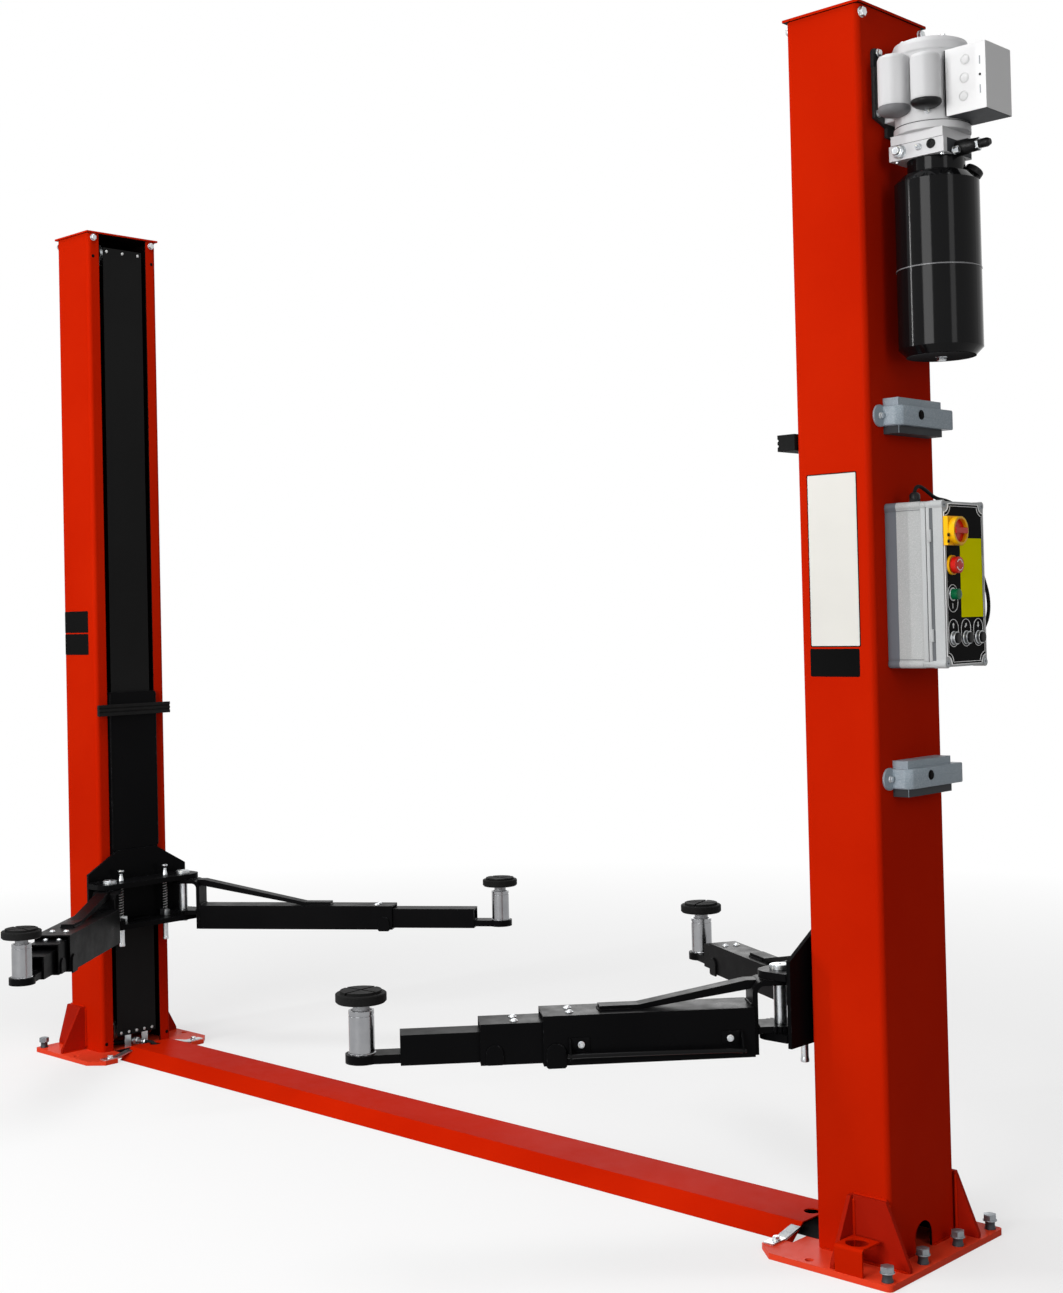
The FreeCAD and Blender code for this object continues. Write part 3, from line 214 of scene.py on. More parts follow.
def metal(name, colour, shade, rough, brushed=(1, 1, 1), grain=500, depth=0.00001, fleck=None):
    """Bare or plated metal with a drawn grain along one axis."""
    look = Shade(name)
    clouds = look.spread(look.noise(30, 3.0), 0.3, 0.7)
    tint = look.blend(clouds, srgb(colour), srgb(shade))
    if fleck:
        spots = look.spread(look.noise(160, 2.0), 0.58, 0.7)
        tint = look.blend(spots, tint, srgb(fleck))
    look.join(tint, look.shader.inputs["Base Color"])
    lines = look.noise(grain, 2.0, brushed)
    look.join(look.spread(lines, 0.3, 0.7, *rough), look.shader.inputs["Roughness"])
    rounded = look.rounded_normal(0.0008)
    look.join(look.bumps(lines, depth, rounded), look.shader.inputs["Normal"])
    look.shader.inputs["Metallic"].default_value = 1.0
    return look


RED = (192, 32, 3)
RED_DEEP = (186, 28, 2)
BLACK = (9, 9, 10)
BLACK_SOFT = (13, 13, 14)
ZINC = (205, 208, 210)
ZINC_DULL = (176, 180, 184)
# painted shade: near-black for the columns' inner faces and faces turned down
PAINTED_INSIDE_SHADE = (24, 15, 14)
NECK_DARK = (34, 34, 35)
WORN_RED = (150, 60, 44)
BARE_RUBBER = (17, 17, 17), (23, 23, 23)
RUBBER_LOOK = {
    "rough": (0.62, 0.8), "specular": 0.08, "grain": 900, "depth": 0.00008,
    "fleck": ((42, 42, 41), 420, 0.35),
}
COLUMN_LINE = 1.5525

red_paint = paint("red_powder_coat", RED, RED_DEEP, specular=0.004, worn=WORN_RED)
column_look = coated("red_column", RED, RED_DEEP, specular=0.004, worn=WORN_RED)
# painted shade: the columns' inner faces and faces turned down take a near-black colour for the shade
# in the channel
column_look.recolour(column_look.turned_out(COLUMN_LINE), PAINTED_INSIDE_SHADE)
# painted light: the base plates take a lighter red than the columns, for the light on their tops
lit_plate_paint = paint("red_plate", (238, 74, 46), (230, 64, 36), specular=0.03, worn=WORN_RED)
# painted shade and highlight: the gussets take a darker red for the shade on their faces, and their
# lighter edge chips are both wear and a painted highlight
shaded_rib_paint = paint("red_rib", (172, 31, 14), (160, 26, 10), specular=0.01, worn=(225, 76, 52))
black_paint = paint("black_paint", BLACK, BLACK_SOFT, (0.26, 0.42), 0.025, worn=(70, 70, 72))
rubber = paint("rubber", *BARE_RUBBER, **RUBBER_LOOK)
gloss_black = paint(
    "gloss_black", (12, 12, 13), (15, 15, 16), (0.08, 0.12), 0.1, grain=160, depth=0.00001
)
plastic_black = paint("black_plastic", (16, 16, 17), (21, 21, 22), (0.34, 0.46), 0.15, grain=1200)
plastic_yellow = paint("yellow_plastic", (255, 196, 4), (250, 186, 2), (0.25, 0.34), 0.2)
plastic_red = paint("red_plastic", (226, 34, 20), (214, 28, 16), (0.22, 0.32), 0.2)
plastic_green = paint("green_plastic", (4, 110, 66), (3, 98, 58), (0.22, 0.32), 0.2)
white_box = paint("white_enamel", (236, 236, 236), (231, 231, 232), (0.4, 0.5), 0.15)
MOTOR_GREYS = (206, 206, 207), (196, 196, 198)
MOTOR_FINISH = {"rough": (0.36, 0.5), "specular": 0.3, "grain": 240, "depth": 0.00012}
motor_grey = paint("cast_motor", *MOTOR_GREYS, **MOTOR_FINISH)
block_alloy = paint(
    "milled_alloy", (214, 214, 215), (204, 204, 206), (0.34, 0.46), 0.3, metallic=0.1, grain=600
)
cast_grey = paint(
    "hammer_grey", (150, 162, 171), (136, 149, 159), (0.34, 0.5), 0.25, grain=520,
    depth=0.0003, fleck=((196, 204, 210), 620, 0.6), round_edge=0.004
)
zinc = metal("zinc_plate", ZINC, ZINC_DULL, (0.24, 0.42), fleck=(214, 212, 200)).material
zinc_dark = metal("dull_zinc", (148, 152, 156), (118, 122, 126), (0.35, 0.55)).material
chrome = metal(
    "turned_steel", (152, 153, 155), (142, 143, 146), (0.18, 0.26), (1, 1, 0.04), depth=0.000003
).material
steel = metal("rolled_steel", (168, 170, 172), (140, 142, 145), (0.22, 0.4)).material


def two_tone(look, limit, axis, low_colour, metal_part=False):
    """The given look with another colour on the low side of a plane across one axis."""
    past = look.beyond(axis, limit)
    look.recolour(past, low_colour)
    if metal_part:
        look.join(look.opposite(past), look.shader.inputs["Metallic"])
    return look.material


BAND_EDGE = 0.0565
CASE_BAND = 1.6795
MOTOR_FOOT = 1.6586
band_black = two_tone(
    coated("band_sheet", (20, 20, 20), (24, 24, 24), (0.42, 0.5), 0.05),
    BAND_EDGE, "Z", ZINC, True
)
BOX_FINISH = {
    "rough": (0.4, 0.52), "specular": 0.25, "grain": 500, "depth": 0.0001, "round_edge": 0.003,
}
case_look = coated(
    "box_grey", (174, 177, 176), (167, 170, 170), fleck=((206, 207, 207), 700, 0.55), **BOX_FINISH
)
case_grey = two_tone(case_look, CASE_BAND, "X", (96, 101, 108))
motor_two = two_tone(
    coated("cast_motor", *MOTOR_GREYS, **MOTOR_FINISH, round_edge=0.004), MOTOR_FOOT, "X", (34, 35, 36)
)
PAD_METAL = (150, 151, 153)


def pad_look(node_name):
    """Rubber on a bare screw and neck, for one pad."""
    plate_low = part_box(node_name)[1][2] - 0.0275
    look = coated("rubber_" + node_name, *BARE_RUBBER, **RUBBER_LOOK)
    return two_tone(look, plate_low, "Z", PAD_METAL, True)


def rod_look(node_name):
    """A plated bar that is dark on its thin neck between the carriage leaves."""
    lift_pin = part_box(node_name)[0][2] + 0.035
    look = metal("zinc_" + node_name, ZINC, ZINC_DULL, (0.24, 0.42), fleck=(214, 212, 200))
    above = look.beyond("Z", lift_pin + 0.068)
    below = look.opposite(look.beyond("Z", lift_pin + 0.17))
    look.recolour(look.opposite(look.times(above, below)), NECK_DARK)
    return look.material


door_grey = paint(
    "door_grey", (186, 189, 189), (178, 181, 182), fleck=((200, 201, 201), 700, 0.5), **BOX_FINISH
)

NODE_LOOKS = (
    ("column_", column_look.material),
    ("base_plate_", lit_plate_paint),
    ("gussets_", shaded_rib_paint),
    (("floor_cover", "adapter_holder"), red_paint),
    (("cover_clips", "hinge_pins_"), zinc),
    ("cover_band_", band_black),
    ("anchor_bolts_", zinc_dark),
    (("carriage_", "arm_"), black_paint),
    ("pulley_", steel),
    ("adapter_", chrome),
    ("bumper_", rubber),
    ("motor", motor_two),
    ("terminal_box", white_box),
    ("pump_block", block_alloy),
    ("oil_tank", gloss_black),
    ("lock_covers", cast_grey),
    ("control_box", case_grey),
    ("control_door", door_grey),
    ("switch_guard", plastic_yellow),
    (("main_switch", "stop_button"), plastic_red),
    ("start_button", plastic_green),
    (("up_button", "hold_button", "down_button", "release_lever"), plastic_black),
)
for node_name, node in frame["nodes"].items():
    if node_name.startswith("pad_"):
        look = pad_look(node_name)
    elif node_name.startswith("lock_rod_"):
        look = rod_look(node_name)
    else:
        look = next(finish for starts, finish in NODE_LOOKS if node_name.startswith(starts))
    node.data.materials.clear()
    node.data.materials.append(look)


# Mesh and curve helpers

def added(name, data):
    """A new object in the scene."""
    made = bpy.data.objects.new(name, data)
    bpy.context.scene.collection.objects.link(made)
    return made


def riding(name, data, material, body):
    """A piece of the look that moves with a body."""
    data.materials.append(material)
    made = added(name, data)
    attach(made, body)
    return made


class Solid:
    """Closed shapes gathered into one piece, in millimetres, through an optional frame."""

    def __init__(self, matrix=None):
        self.mesh = bmesh.new()
        self.matrix = matrix or Matrix.Identity(4)

    def skin(self, loops, closed=False):
        """Faces between loops of points, with the ends capped or joined."""
        rings = [[self.mesh.verts.new((self.matrix @ spot) * MM) for spot in loop] for loop in loops]
        following = rings[1:] + rings[:1] if closed else rings[1:]
        for lower, upper in zip(rings, following):
            for i in range(len(lower)):
                j = (i + 1) % len(lower)
                self.mesh.faces.new((lower[i], lower[j], upper[j], upper[i]))
        if not closed:
            self.mesh.faces.new(list(reversed(rings[0])))
            self.mesh.faces.new(rings[-1])
        return self

    def turned(self, base, axis, profile, sides=32, start=0.0, closed=False):
        """Turns (height, radius) pairs about an axis through base."""
        base, axis = Vector(base), Vector(axis).normalized()
        side = axis.orthogonal().normalized()
        other = axis.cross(side)
        loops = []
        for height, radius in profile:
            loop = []
            for i in range(sides):
                angle = start + 2 * math.pi * i / sides
                around = side * math.cos(angle) + other * math.sin(angle)
                loop.append(base + axis * height + around * radius)
            loops.append(loop)
        return self.skin(loops, closed)

    def ring(self, base, axis, inner, outer, height, sides=48, soft=0.6):
        """A flat ring with softened edges."""
        section = (
            (0, inner), (0, outer), (height - soft, outer), (height, outer - soft),
            (height, inner + soft), (height - soft, inner),
        )
        return self.turned(base, axis, section, sides, closed=True)

    def block(self, low, high, soft=1.0, steps=2):
        """A box with rounded edges."""
        made = bmesh.ops.create_cube(self.mesh, size=1.0)["verts"]
        low, high = Vector(low), Vector(high)
        for vert in made:
            vert.co = Vector(low[k] + (high[k] - low[k]) * (vert.co[k] + 0.5) for k in range(3))
        if soft:
            edges = list({edge for vert in made for edge in vert.link_edges})
            bent = bmesh.ops.bevel(
                self.mesh, geom=edges, offset=soft, segments=steps, affect="EDGES", profile=0.5
            )
            made = list({vert for face in bent["faces"] for vert in face.verts} | {
                vert for vert in made if vert.is_valid
            })
        for vert in made:
            vert.co = (self.matrix @ vert.co) * MM
        return self

    def slab(self, outline, depth, base, across=OUT, up=UP, soft=0.0):
        """An outline in the plane of two directions, thickened towards their cross product."""
        base, across, up = Vector(base), Vector(across), Vector(up)
        out = across.cross(up).normalized()

        def level(shape, rise):
            return [base + across * a + up * b + out * rise for a, b in shape]

        centre_a = sum(a for a, b in outline) / len(outline)
        centre_b = sum(b for a, b in outline) / len(outline)
        top = []
        for a, b in outline:
            keep = 1.0 - soft / (math.hypot(a - centre_a, b - centre_b) or 1.0)
            top.append((centre_a + (a - centre_a) * keep, centre_b + (b - centre_b) * keep))
        bend = [level(outline, depth - soft)] if soft else []
        return self.skin([level(outline, 0), *bend, level(top, depth)])

    def piece(self, name, material, slot, body="frame"):
        bmesh.ops.recalc_face_normals(self.mesh, faces=self.mesh.faces)
        data = bpy.data.meshes.new(name)
        self.mesh.to_mesh(data)
        self.mesh.free()
        for face in data.polygons:
            face.use_smooth = True
        data.set_sharp_from_angle(angle=math.radians(38))
        return riding(name, data, material, body)


def wire(name, points, radius, material, body="frame", kind="NURBS", closed=False):
    """A round bar or cable along points, in millimetres."""
    data = bpy.data.curves.new(name, "CURVE")
    data.dimensions = "3D"
    data.bevel_depth = radius * MM
    data.bevel_resolution = 2 if closed else 4
    data.use_fill_caps = not closed
    line = data.splines.new(kind)
    line.points.add(len(points) - 1)
    for target, spot in zip(line.points, points):
        target.co = (*(Vector(spot) * MM), 1.0)
    line.use_cyclic_u = closed
    if kind == "NURBS":
        line.order_u = 3
        line.use_endpoint_u = True
    return riding(name, data, material, body)


def hex_bolt(solid, spot, axis, across, height, washer=12.5, start=0.2):
    """A hexagon head with a chamfered top on a thin washer."""
    corner = across / math.sqrt(3)
    axis = Vector(axis).normalized()
    if washer:
        solid.turned(spot, axis, ((0, washer), (1.4, washer), (2.0, washer - 0.6)))
    head = Vector(spot) + axis * (1.8 if washer else 0)
    crown = ((0, corner), (height * 0.82, corner), (height, corner * 0.86))
    solid.turned(head, axis, crown, 6, start)


def dome_head(solid, spot, axis, radius, height):
    """A rounded rivet or button head."""
    profile = [(0, radius)]
    for i in range(1, 6):
        angle = math.pi / 2 * i / 6
        profile.append((height * math.sin(angle), radius * math.cos(angle)))
    profile.append((height, radius * 0.12))
    solid.turned(spot, axis, profile, 20)


# Details of the columns, base plates and floor cover

SIDES = ("right", "left")
FACE = 1455.0
BACK = 1650.0
HALF = 138.0
PLATE = 14.0


def side_frame(side):
    """The right column's place, or the same turned half round for the left column."""
    return Matrix.Identity(4) if side == "right" else Matrix.Rotation(math.pi, 4, "Z")


def rounded_outline(low_a, low_b, high_a, high_b, radius, steps=6, hollow=False):
    """A rectangle with rounded corners, or with corners that curve inwards."""
    outline = []
    corners = (high_a, high_b, 0), (low_a, high_b, 90), (low_a, low_b, 180), (high_a, low_b, 270)
    for a, b, first in corners:
        in_a = 0 if hollow else radius * (1 if a == low_a else -1)
        in_b = 0 if hollow else radius * (1 if b == low_b else -1)
        for i in range(steps + 1):
            turn = 90 * i / steps
            angle = math.radians(first + (270 - turn if hollow else turn))
            outline.append((a + in_a + radius * math.cos(angle), b + in_b + radius * math.sin(angle)))
    return outline


def ripple(step):
    """An uneven but repeatable value from 0 to 1."""
    value = math.sin(step * 12.9898) * 43758.5453
    return value - math.floor(value)


def weld(name, runs, radius, material, body, slot, matrix=None):
    """Rippled beads along straight runs, in millimetres."""
    solid = Solid(matrix)
    for count, (start, end) in enumerate(runs):
        start, end = Vector(start), Vector(end)
        length = (end - start).length
        steps = max(4, int(length / 3.2))
        profile = []
        for i in range(steps + 1):
            swell = 0.86 + 0.2 * (i % 2) * ripple(i + 0.37 * count) + 0.1 * ripple(3 * i + count)
            if i in (0, steps):
                swell = 0.45
            profile.append((length * i / steps, radius * swell))
        solid.turned(start, end - start, profile, 8)
    solid.piece(name, material, slot, body)


hole_black = paint("deep_shadow", (6, 6, 6), (9, 9, 9), (0.7, 0.85), 0.05)
FLAT = {"grain": 800, "round_edge": 0.0003}
label_white = paint("bare_sheet", (222, 220, 214), (214, 212, 206), (0.4, 0.5), 0.25, **FLAT)
label_dark = paint("bare_plate", (11, 11, 11), (15, 15, 15), (0.34, 0.44), 0.01, **FLAT)
label_yellow = paint("yellow_sheet", (255, 250, 4), (252, 246, 2), (0.36, 0.46), 0.0, **FLAT)
line_white = paint(
    "white_line", (252, 252, 252), (246, 246, 246), (0.4, 0.5), 0.3, grain=800, round_edge=0.0002
)
# painted shade: mid grey for shaded grooves on the control box
groove_grey = paint("groove_grey", (104, 107, 110), (96, 99, 102), (0.5, 0.6), 0.15)
# painted shade: dark grey for undersides and unlit sides
under_grey = paint("under_grey", (62, 64, 67), (52, 54, 57), (0.5, 0.6), 0.1)
# painted shade: grey for the shade under the left can
can_grey = paint("can_grey", (118, 118, 120), (104, 104, 106), (0.4, 0.5), 0.15)
ear_dark = paint("ear_dark", (40, 41, 43), (34, 35, 37), (0.5, 0.6), 0.1)
# painted shade: a slightly darker white for the knock-outs' shaded rims
soft_white = paint("soft_white", (226, 226, 226), (221, 221, 222), (0.4, 0.5), 0.15)
tank_matt = paint("tank_floor", (66, 66, 67), (52, 52, 53), (0.7, 0.8), 0.0)
stem_grey = paint("oxide_stem", (66, 70, 74), (54, 58, 62), (0.4, 0.55), 0.3, metallic=0.4)
# painted highlight: light grey for the light line along the tank seam
seam_highlight_grey = paint("rolled_seam", (128, 128, 130), (112, 112, 114), (0.2, 0.3), 0.3)
rivet_white = paint("rivet", (214, 214, 212), (196, 196, 196), (0.3, 0.42), 0.35)

CAP_LEVEL = 2795
ANCHOR_ROW = BACK + 43

for side in SIDES:
    place = side_frame(side)
    bolts, plugs, rivets = Solid(place), Solid(place), Solid(place)
    for across in (-117, 117):
        hex_bolt(bolts, (FACE, across, CAP_LEVEL + 2), INWARD, 18, 7, 11.5)
        hex_bolt(bolts, (BACK, across * 1.05, CAP_LEVEL - 2), OUT, 20, 8)
    bolts.piece("cap_bolts_" + side, zinc, "zinc")
    for across, level, radius in ((-118, 2733, 5.6), (118, 2733, 5.6), (-122, 40, 6), (122, 40, 6)):
        rim = ((0, radius), (0.3, radius), (0.5, radius - 0.6))
        plugs.turned((FACE, across, level), INWARD, rim, 24)
    plugs.piece("lip_holes_" + side, hole_black, "black_paint")
    for level, row in ((67, (-62, -31, 0, 31, 62)), (2755, (-63, 0, 63))):
        for across in row:
            dome_head(rivets, (FACE + 1, across, level), INWARD, 5.2, 2.4)
    rivets.piece("band_rivets_" + side, rivet_white, "zinc")

    runs = []
    for sign in (-1, 1):
        runs += [
            ((FACE + 14, sign * HALF, PLATE), (1553, sign * HALF, PLATE)),
            ((BACK + 1, sign * 40, PLATE), (BACK + 1, sign * 124, PLATE)),
            ((1557, sign * 152, PLATE), (1704, sign * 152, PLATE)),
            ((1554, sign * 156, PLATE), (1554, sign * 230, PLATE)),
            ((1566, sign * 156, PLATE), (1566, sign * 230, PLATE)),
            ((1554, sign * 139.5, 22), (1554, sign * 139.5, 154)),
            ((1560, sign * 139.5, 157), (1646, sign * 139.5, 157)),
            ((BACK + 2, sign * 140, 22), (BACK + 2, sign * 140, 150)),
            ((1567, sign * 152, 20), (1567, sign * 152, 150)),
        ]
    weld("base_welds_" + side, runs, 3.6, red_paint, "frame", "red_paint", place)

    crowns, sleeves = Solid(place), Solid(place)
    for across in (-218, -74, 74, 218):
        foot = (ANCHOR_ROW, across, PLATE)
        crowns.turned(foot, UP, ((33, 13.2), (33.5, 13.0), (34, 11.6)))
        crowns.ring((ANCHOR_ROW, across, PLATE + 19), UP, 8.8, 16.4, 2.2, 40)
        sleeves.turned(foot, UP, ((0, 13.2), (3, 12.6), (9, 11.2), (15, 11.4), (19.2, 13.2)))
    sleeves.piece("anchor_sleeves_" + side, stem_grey, "zinc")
    crowns.piece("anchor_crowns_" + side, zinc_dark, "zinc")

# painted shadow: a near-black sheet under the floor cover and at its ends, where there is only shade
cover_shade_sheet = Solid()
for sign in (-1, 1):
    for near, far, half, low, high in ((1180, 1344, 104, 0.3, 1.1), (1345.5, 1449, 96, 14.15, 14.6)):
        low_x, high_x = sorted((sign * near, sign * far))
        cover_shade_sheet.block((low_x, -half, low), (high_x, half, high), 0)
cover_shade_sheet.piece("cover_shadow_sheet", hole_black, "black_paint")
clip_bolts = Solid()
for sign_x in (-1, 1):
    for sign_y in (-1, 1):
        hex_bolt(clip_bolts, (sign_x * 1364, sign_y * 168, PLATE + 4), UP, 15, 6.5, 10.5)
clip_bolts.piece("clip_bolts", zinc, "zinc")

# bare sheets on the front faces of the columns
for name, corners, radius, stand, depth, material, slot in (
    ("sheet_right_border", (1482, 1376, 1616, 1768), 4, 0, 0.35, label_dark, "black_plastic"),
    ("sheet_right", (1484.5, 1378.5, 1613.5, 1765.5), 2.5, 0.35, 0.3, label_white, "white_paint"),
    ("plate_right", (1480, 1309, 1612, 1372), 4, 0, 0.3, label_dark, "black_plastic"),
    ("plate_left_high", (-1641, 1441, -1496, 1515), 4, 0, 0.3, label_dark, "black_plastic"),
    ("plate_left_low", (-1641, 1365, -1496, 1437), 4, 0, 0.3, label_dark, "black_plastic"),
):
    sheet = Solid().slab(rounded_outline(*corners, radius), depth, (0, -HALF - stand, 0))
    sheet.piece("bare_" + name, material, slot)

# a rope wheel at each end of a column, seen past the edge of the cover band
for side in SIDES:
    wheels = Solid(side_frame(side))
    for level in (67, 2750):
        wheels.ring((1543, 52, level), ACROSS, 43, 50, 13, 72, 1.5)
        wheels.turned((1543, 55, level), ACROSS, ((0, 44), (7, 44)), 48)
        wheels.turned((1543, 61, level), ACROSS, ((0, 9), (71, 9)), 24)
    wheels.piece("rope_wheels_" + side, zinc, "steel")

# the pressure hose leaves the left column and enters the floor cover
hose_way = Vector((1.0, 0.12, 0.05)).normalized()
hose_end = Vector((-1466, -14, 34))
fitting = Solid()
fitting.turned(hose_end, hose_way, (
    (0, 7.5), (14, 7.5), (15, 8.6), (30, 8.6), (31, 7.2), (34, 7.2), (35, 8.6), (58, 8.6), (60, 7.0)
), 28)
fitting.turned(hose_end + hose_way * 16, hose_way, ((0, 12.4), (1, 13), (13, 13), (14, 12.4)), 6)
nut = ((-3, 9.5), (0, 10.4), (10, 10.4), (12, 9))
fitting.turned(hose_end + hose_way * 62, hose_way, nut, 6, 0.4)
fitting.piece("hose_fitting", zinc, "zinc")
wire("hose_stub", (
    (-1392, -5.5, 37.6), (-1378, -3.5, 38.2), (-1362, 0, 37), (-1352, 2, 31), (-1338, 3, 24),
    (-1320, 3, 18)
), 6.5, rubber)
wire("hose_inner", (
    (-1468, -14.5, 34), (-1482, -18, 30), (-1496, -30, 24), (-1510, -52, 24), (-1518, -80, 30)
), 6.5, rubber)


# Details of the carriages

LEAF_LOW = 31.0
LEAF_HIGH = 170.0
LEAF_THICK = 17.0
ROD_IN = 54.0
ROD_ROW = 88.5
BLOCK_TOP = 67.0
PIN_IN = 77.0
PIN_ROW = 148.0


def coil(solid, foot, height, radius, thick, turns, sides=6, steps=14):
    """A round wire wound about an upright axis."""
    loops = []
    count = int(turns * steps)
    for i in range(count + 1):
        angle = 2 * math.pi * i / steps
        out = Vector((math.cos(angle), math.sin(angle), 0))
        centre = Vector(foot) + out * radius + Vector(UP) * height * i / count
        loop = []
        for k in range(sides):
            turn = 2 * math.pi * k / sides
            loop.append(centre + (out * math.cos(turn) + Vector(UP) * math.sin(turn)) * thick)
        loops.append(loop)
    solid.skin(loops)


for side in SIDES:
    place = side_frame(side)
    lift = JOINTS["swing_%s_front" % side]["pos_m"][2] / MM
    body = "carriage_" + side
    caps = Solid(place)
    for sign in (-1, 1):
        top = (FACE - PIN_IN, sign * PIN_ROW, lift + LEAF_HIGH + LEAF_THICK + 9)
        caps.turned(top, UP, ((0, 21), (0.3, 21.4), (1.0, 21.2), (1.5, 20.2)), 48)
        caps.turned(top, UP, ((1.4, 4.4), (2.4, 4.4), (3.0, 3.4)), 20)
    caps.piece("pin_caps_" + side, zinc, "zinc", body)

    front_x = FACE - 13
    bead = ((0, 2.4), (3, 5.2), (8, 6), (68, 6), (73, 5.2), (76, 2.4))
    bead_foot = (front_x - 30, -38, lift + LEAF_LOW + LEAF_THICK - 1)
    strip = Solid(place).turned(bead_foot, ACROSS, bead, 16)
    strip.piece("leaf_bead_" + side, black_paint, "black_paint", body)

    runs = []
    for level in (LEAF_LOW, LEAF_HIGH):
        for z in (level - 0.5, level + LEAF_THICK + 0.5):
            for start, end in ((-188, -100), (100, 188)):
                runs.append(((front_x - 11, start, lift + z), (front_x - 11, end, lift + z)))
    for sign in (-1, 1):
        runs.append(((front_x, sign * 91, lift + 290), (front_x, sign * 91, lift + 820)))
    weld("carriage_welds_" + side, runs, 2.8, black_paint, body, "black_paint", place)

    for end, sign in (("front", -1), ("back", 1)):
        spring = Solid()
        axis_x = (1 if side == "right" else -1) * (FACE - ROD_IN)
        low_z = lift + BLOCK_TOP
        high_z = lift + LEAF_HIGH
        coil(spring, (axis_x, sign * ROD_ROW, low_z + 1.2), high_z - low_z - 2.4, 6.9, 1.35, 11)
        made = spring.piece("lock_spring_%s_%s" % (side, end), rivet_white, "zinc", body)
        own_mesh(made)
        foot = (axis_x, sign * ROD_ROW, lift - 35)
        flare = Solid().turned(foot, UP, ((-0.1, 9.4), (1.5, 10.2), (6, 10.2), (12, 9.1)))
        flare.piece("lock_trim_%s_%s" % (side, end), zinc, "zinc", "lock_rod_%s_%s" % (side, end))


# Details of the arms

# for each arm, its reach, and for a front arm the middle stage's end and the outer side
ARMS = {
    "right_front": (961, 696, 1), "left_front": (808, 630, -1),
    "right_rear": (895, 0, 0), "left_rear": (1122, 0, 0),
}


def arm_frame(arm):
    """Along the arm, sideways and up, from the foot of its hinge pin."""
    slide = "extend_" + arm + ("_middle" if arm.endswith("front") else "")
    along = Vector(JOINTS[slide]["axis"]).normalized()
    turn = Matrix((along, Vector(UP).cross(along), UP)).transposed().to_4x4()
    return Matrix.Translation(Vector(JOINTS["swing_" + arm]["pos_m"]) / MM) @ turn


def stop_boss(solid, along, half, wide, top, low=-5.0):
    """A plate with a round head on each side of a tube."""
    outline = []
    for i in range(13):
        angle = math.radians(15 * i)
        outline.append((along + wide * math.cos(angle), top - wide + wide * math.sin(angle)))
    outline += [(along - wide, low + 4), (along - wide + 4, low), (along + wide - 4, low)]
    outline.append((along + wide, low + 4))
    for sign in (-1, 1):
        shape = [(-sign * a, b) for a, b in outline]
        solid.slab(shape, 5.0, (0, sign * half, 0), (-sign, 0, 0), UP, 1.2)


def tube_bolts(solid, along, offset, top):
    """Two low bolt heads on top of a tube."""
    for sign in (-1, 1):
        solid.turned((along, sign * offset, top), UP, ((0, 9.5), (1.2, 9.5), (1.8, 8.8)), 28)
        dome_head(solid, (along, sign * offset, top + 1.6), UP, 7.6, 4.6)


def toe_guard(arm, place, outward):
    """A bar on two bent plates along the outer side of a front arm."""
    side = outward * 56
    plates = Solid(place)
    for along, way in ((494, 1), (106, -1)):
        low_a, high_a = sorted((along, along - way * 44))
        low_b, high_b = sorted((side, side + outward * 3))
        plates.block((low_a, low_b, 30), (high_a, high_b, 62), 1.2)
        outline = ((0, 62), (0, 24), (14, 14), (24, 14), (24, 26), (6, 62))
        shape = [(outward * a, b) for a, b in outline]
        plates.slab(shape, way * 4, (along, side, 0), ACROSS)
    plates.piece("guard_plates_" + arm, black_paint, "black_paint", "arm_" + arm)
    reach = side + outward * 19
    bar = (
        (503, reach, 26), (494, reach, 24), (470, reach, 25), (300, reach, 24),
        (130, reach, 22), (106, reach, 20), (97, reach, 20)
    )
    points = [place @ Vector(spot) for spot in bar]
    wire("guard_bar_" + arm, points, 5.5, gloss_black, "arm_" + arm, "POLY")
    screws = Solid(place)
    away = (0, outward, 0)
    for along in (470, 130):
        screws.turned((along, side + outward * 3, 46), away, ((0, 8), (1.4, 8), (2, 7.4)), 28)
        screws.turned((along, side + outward * 5, 46), away, ((0, 5.6), (4, 5.6), (4.8, 4.8)), 6, 0.3)
    screws.piece("guard_screws_" + arm, zinc, "zinc", "arm_" + arm)


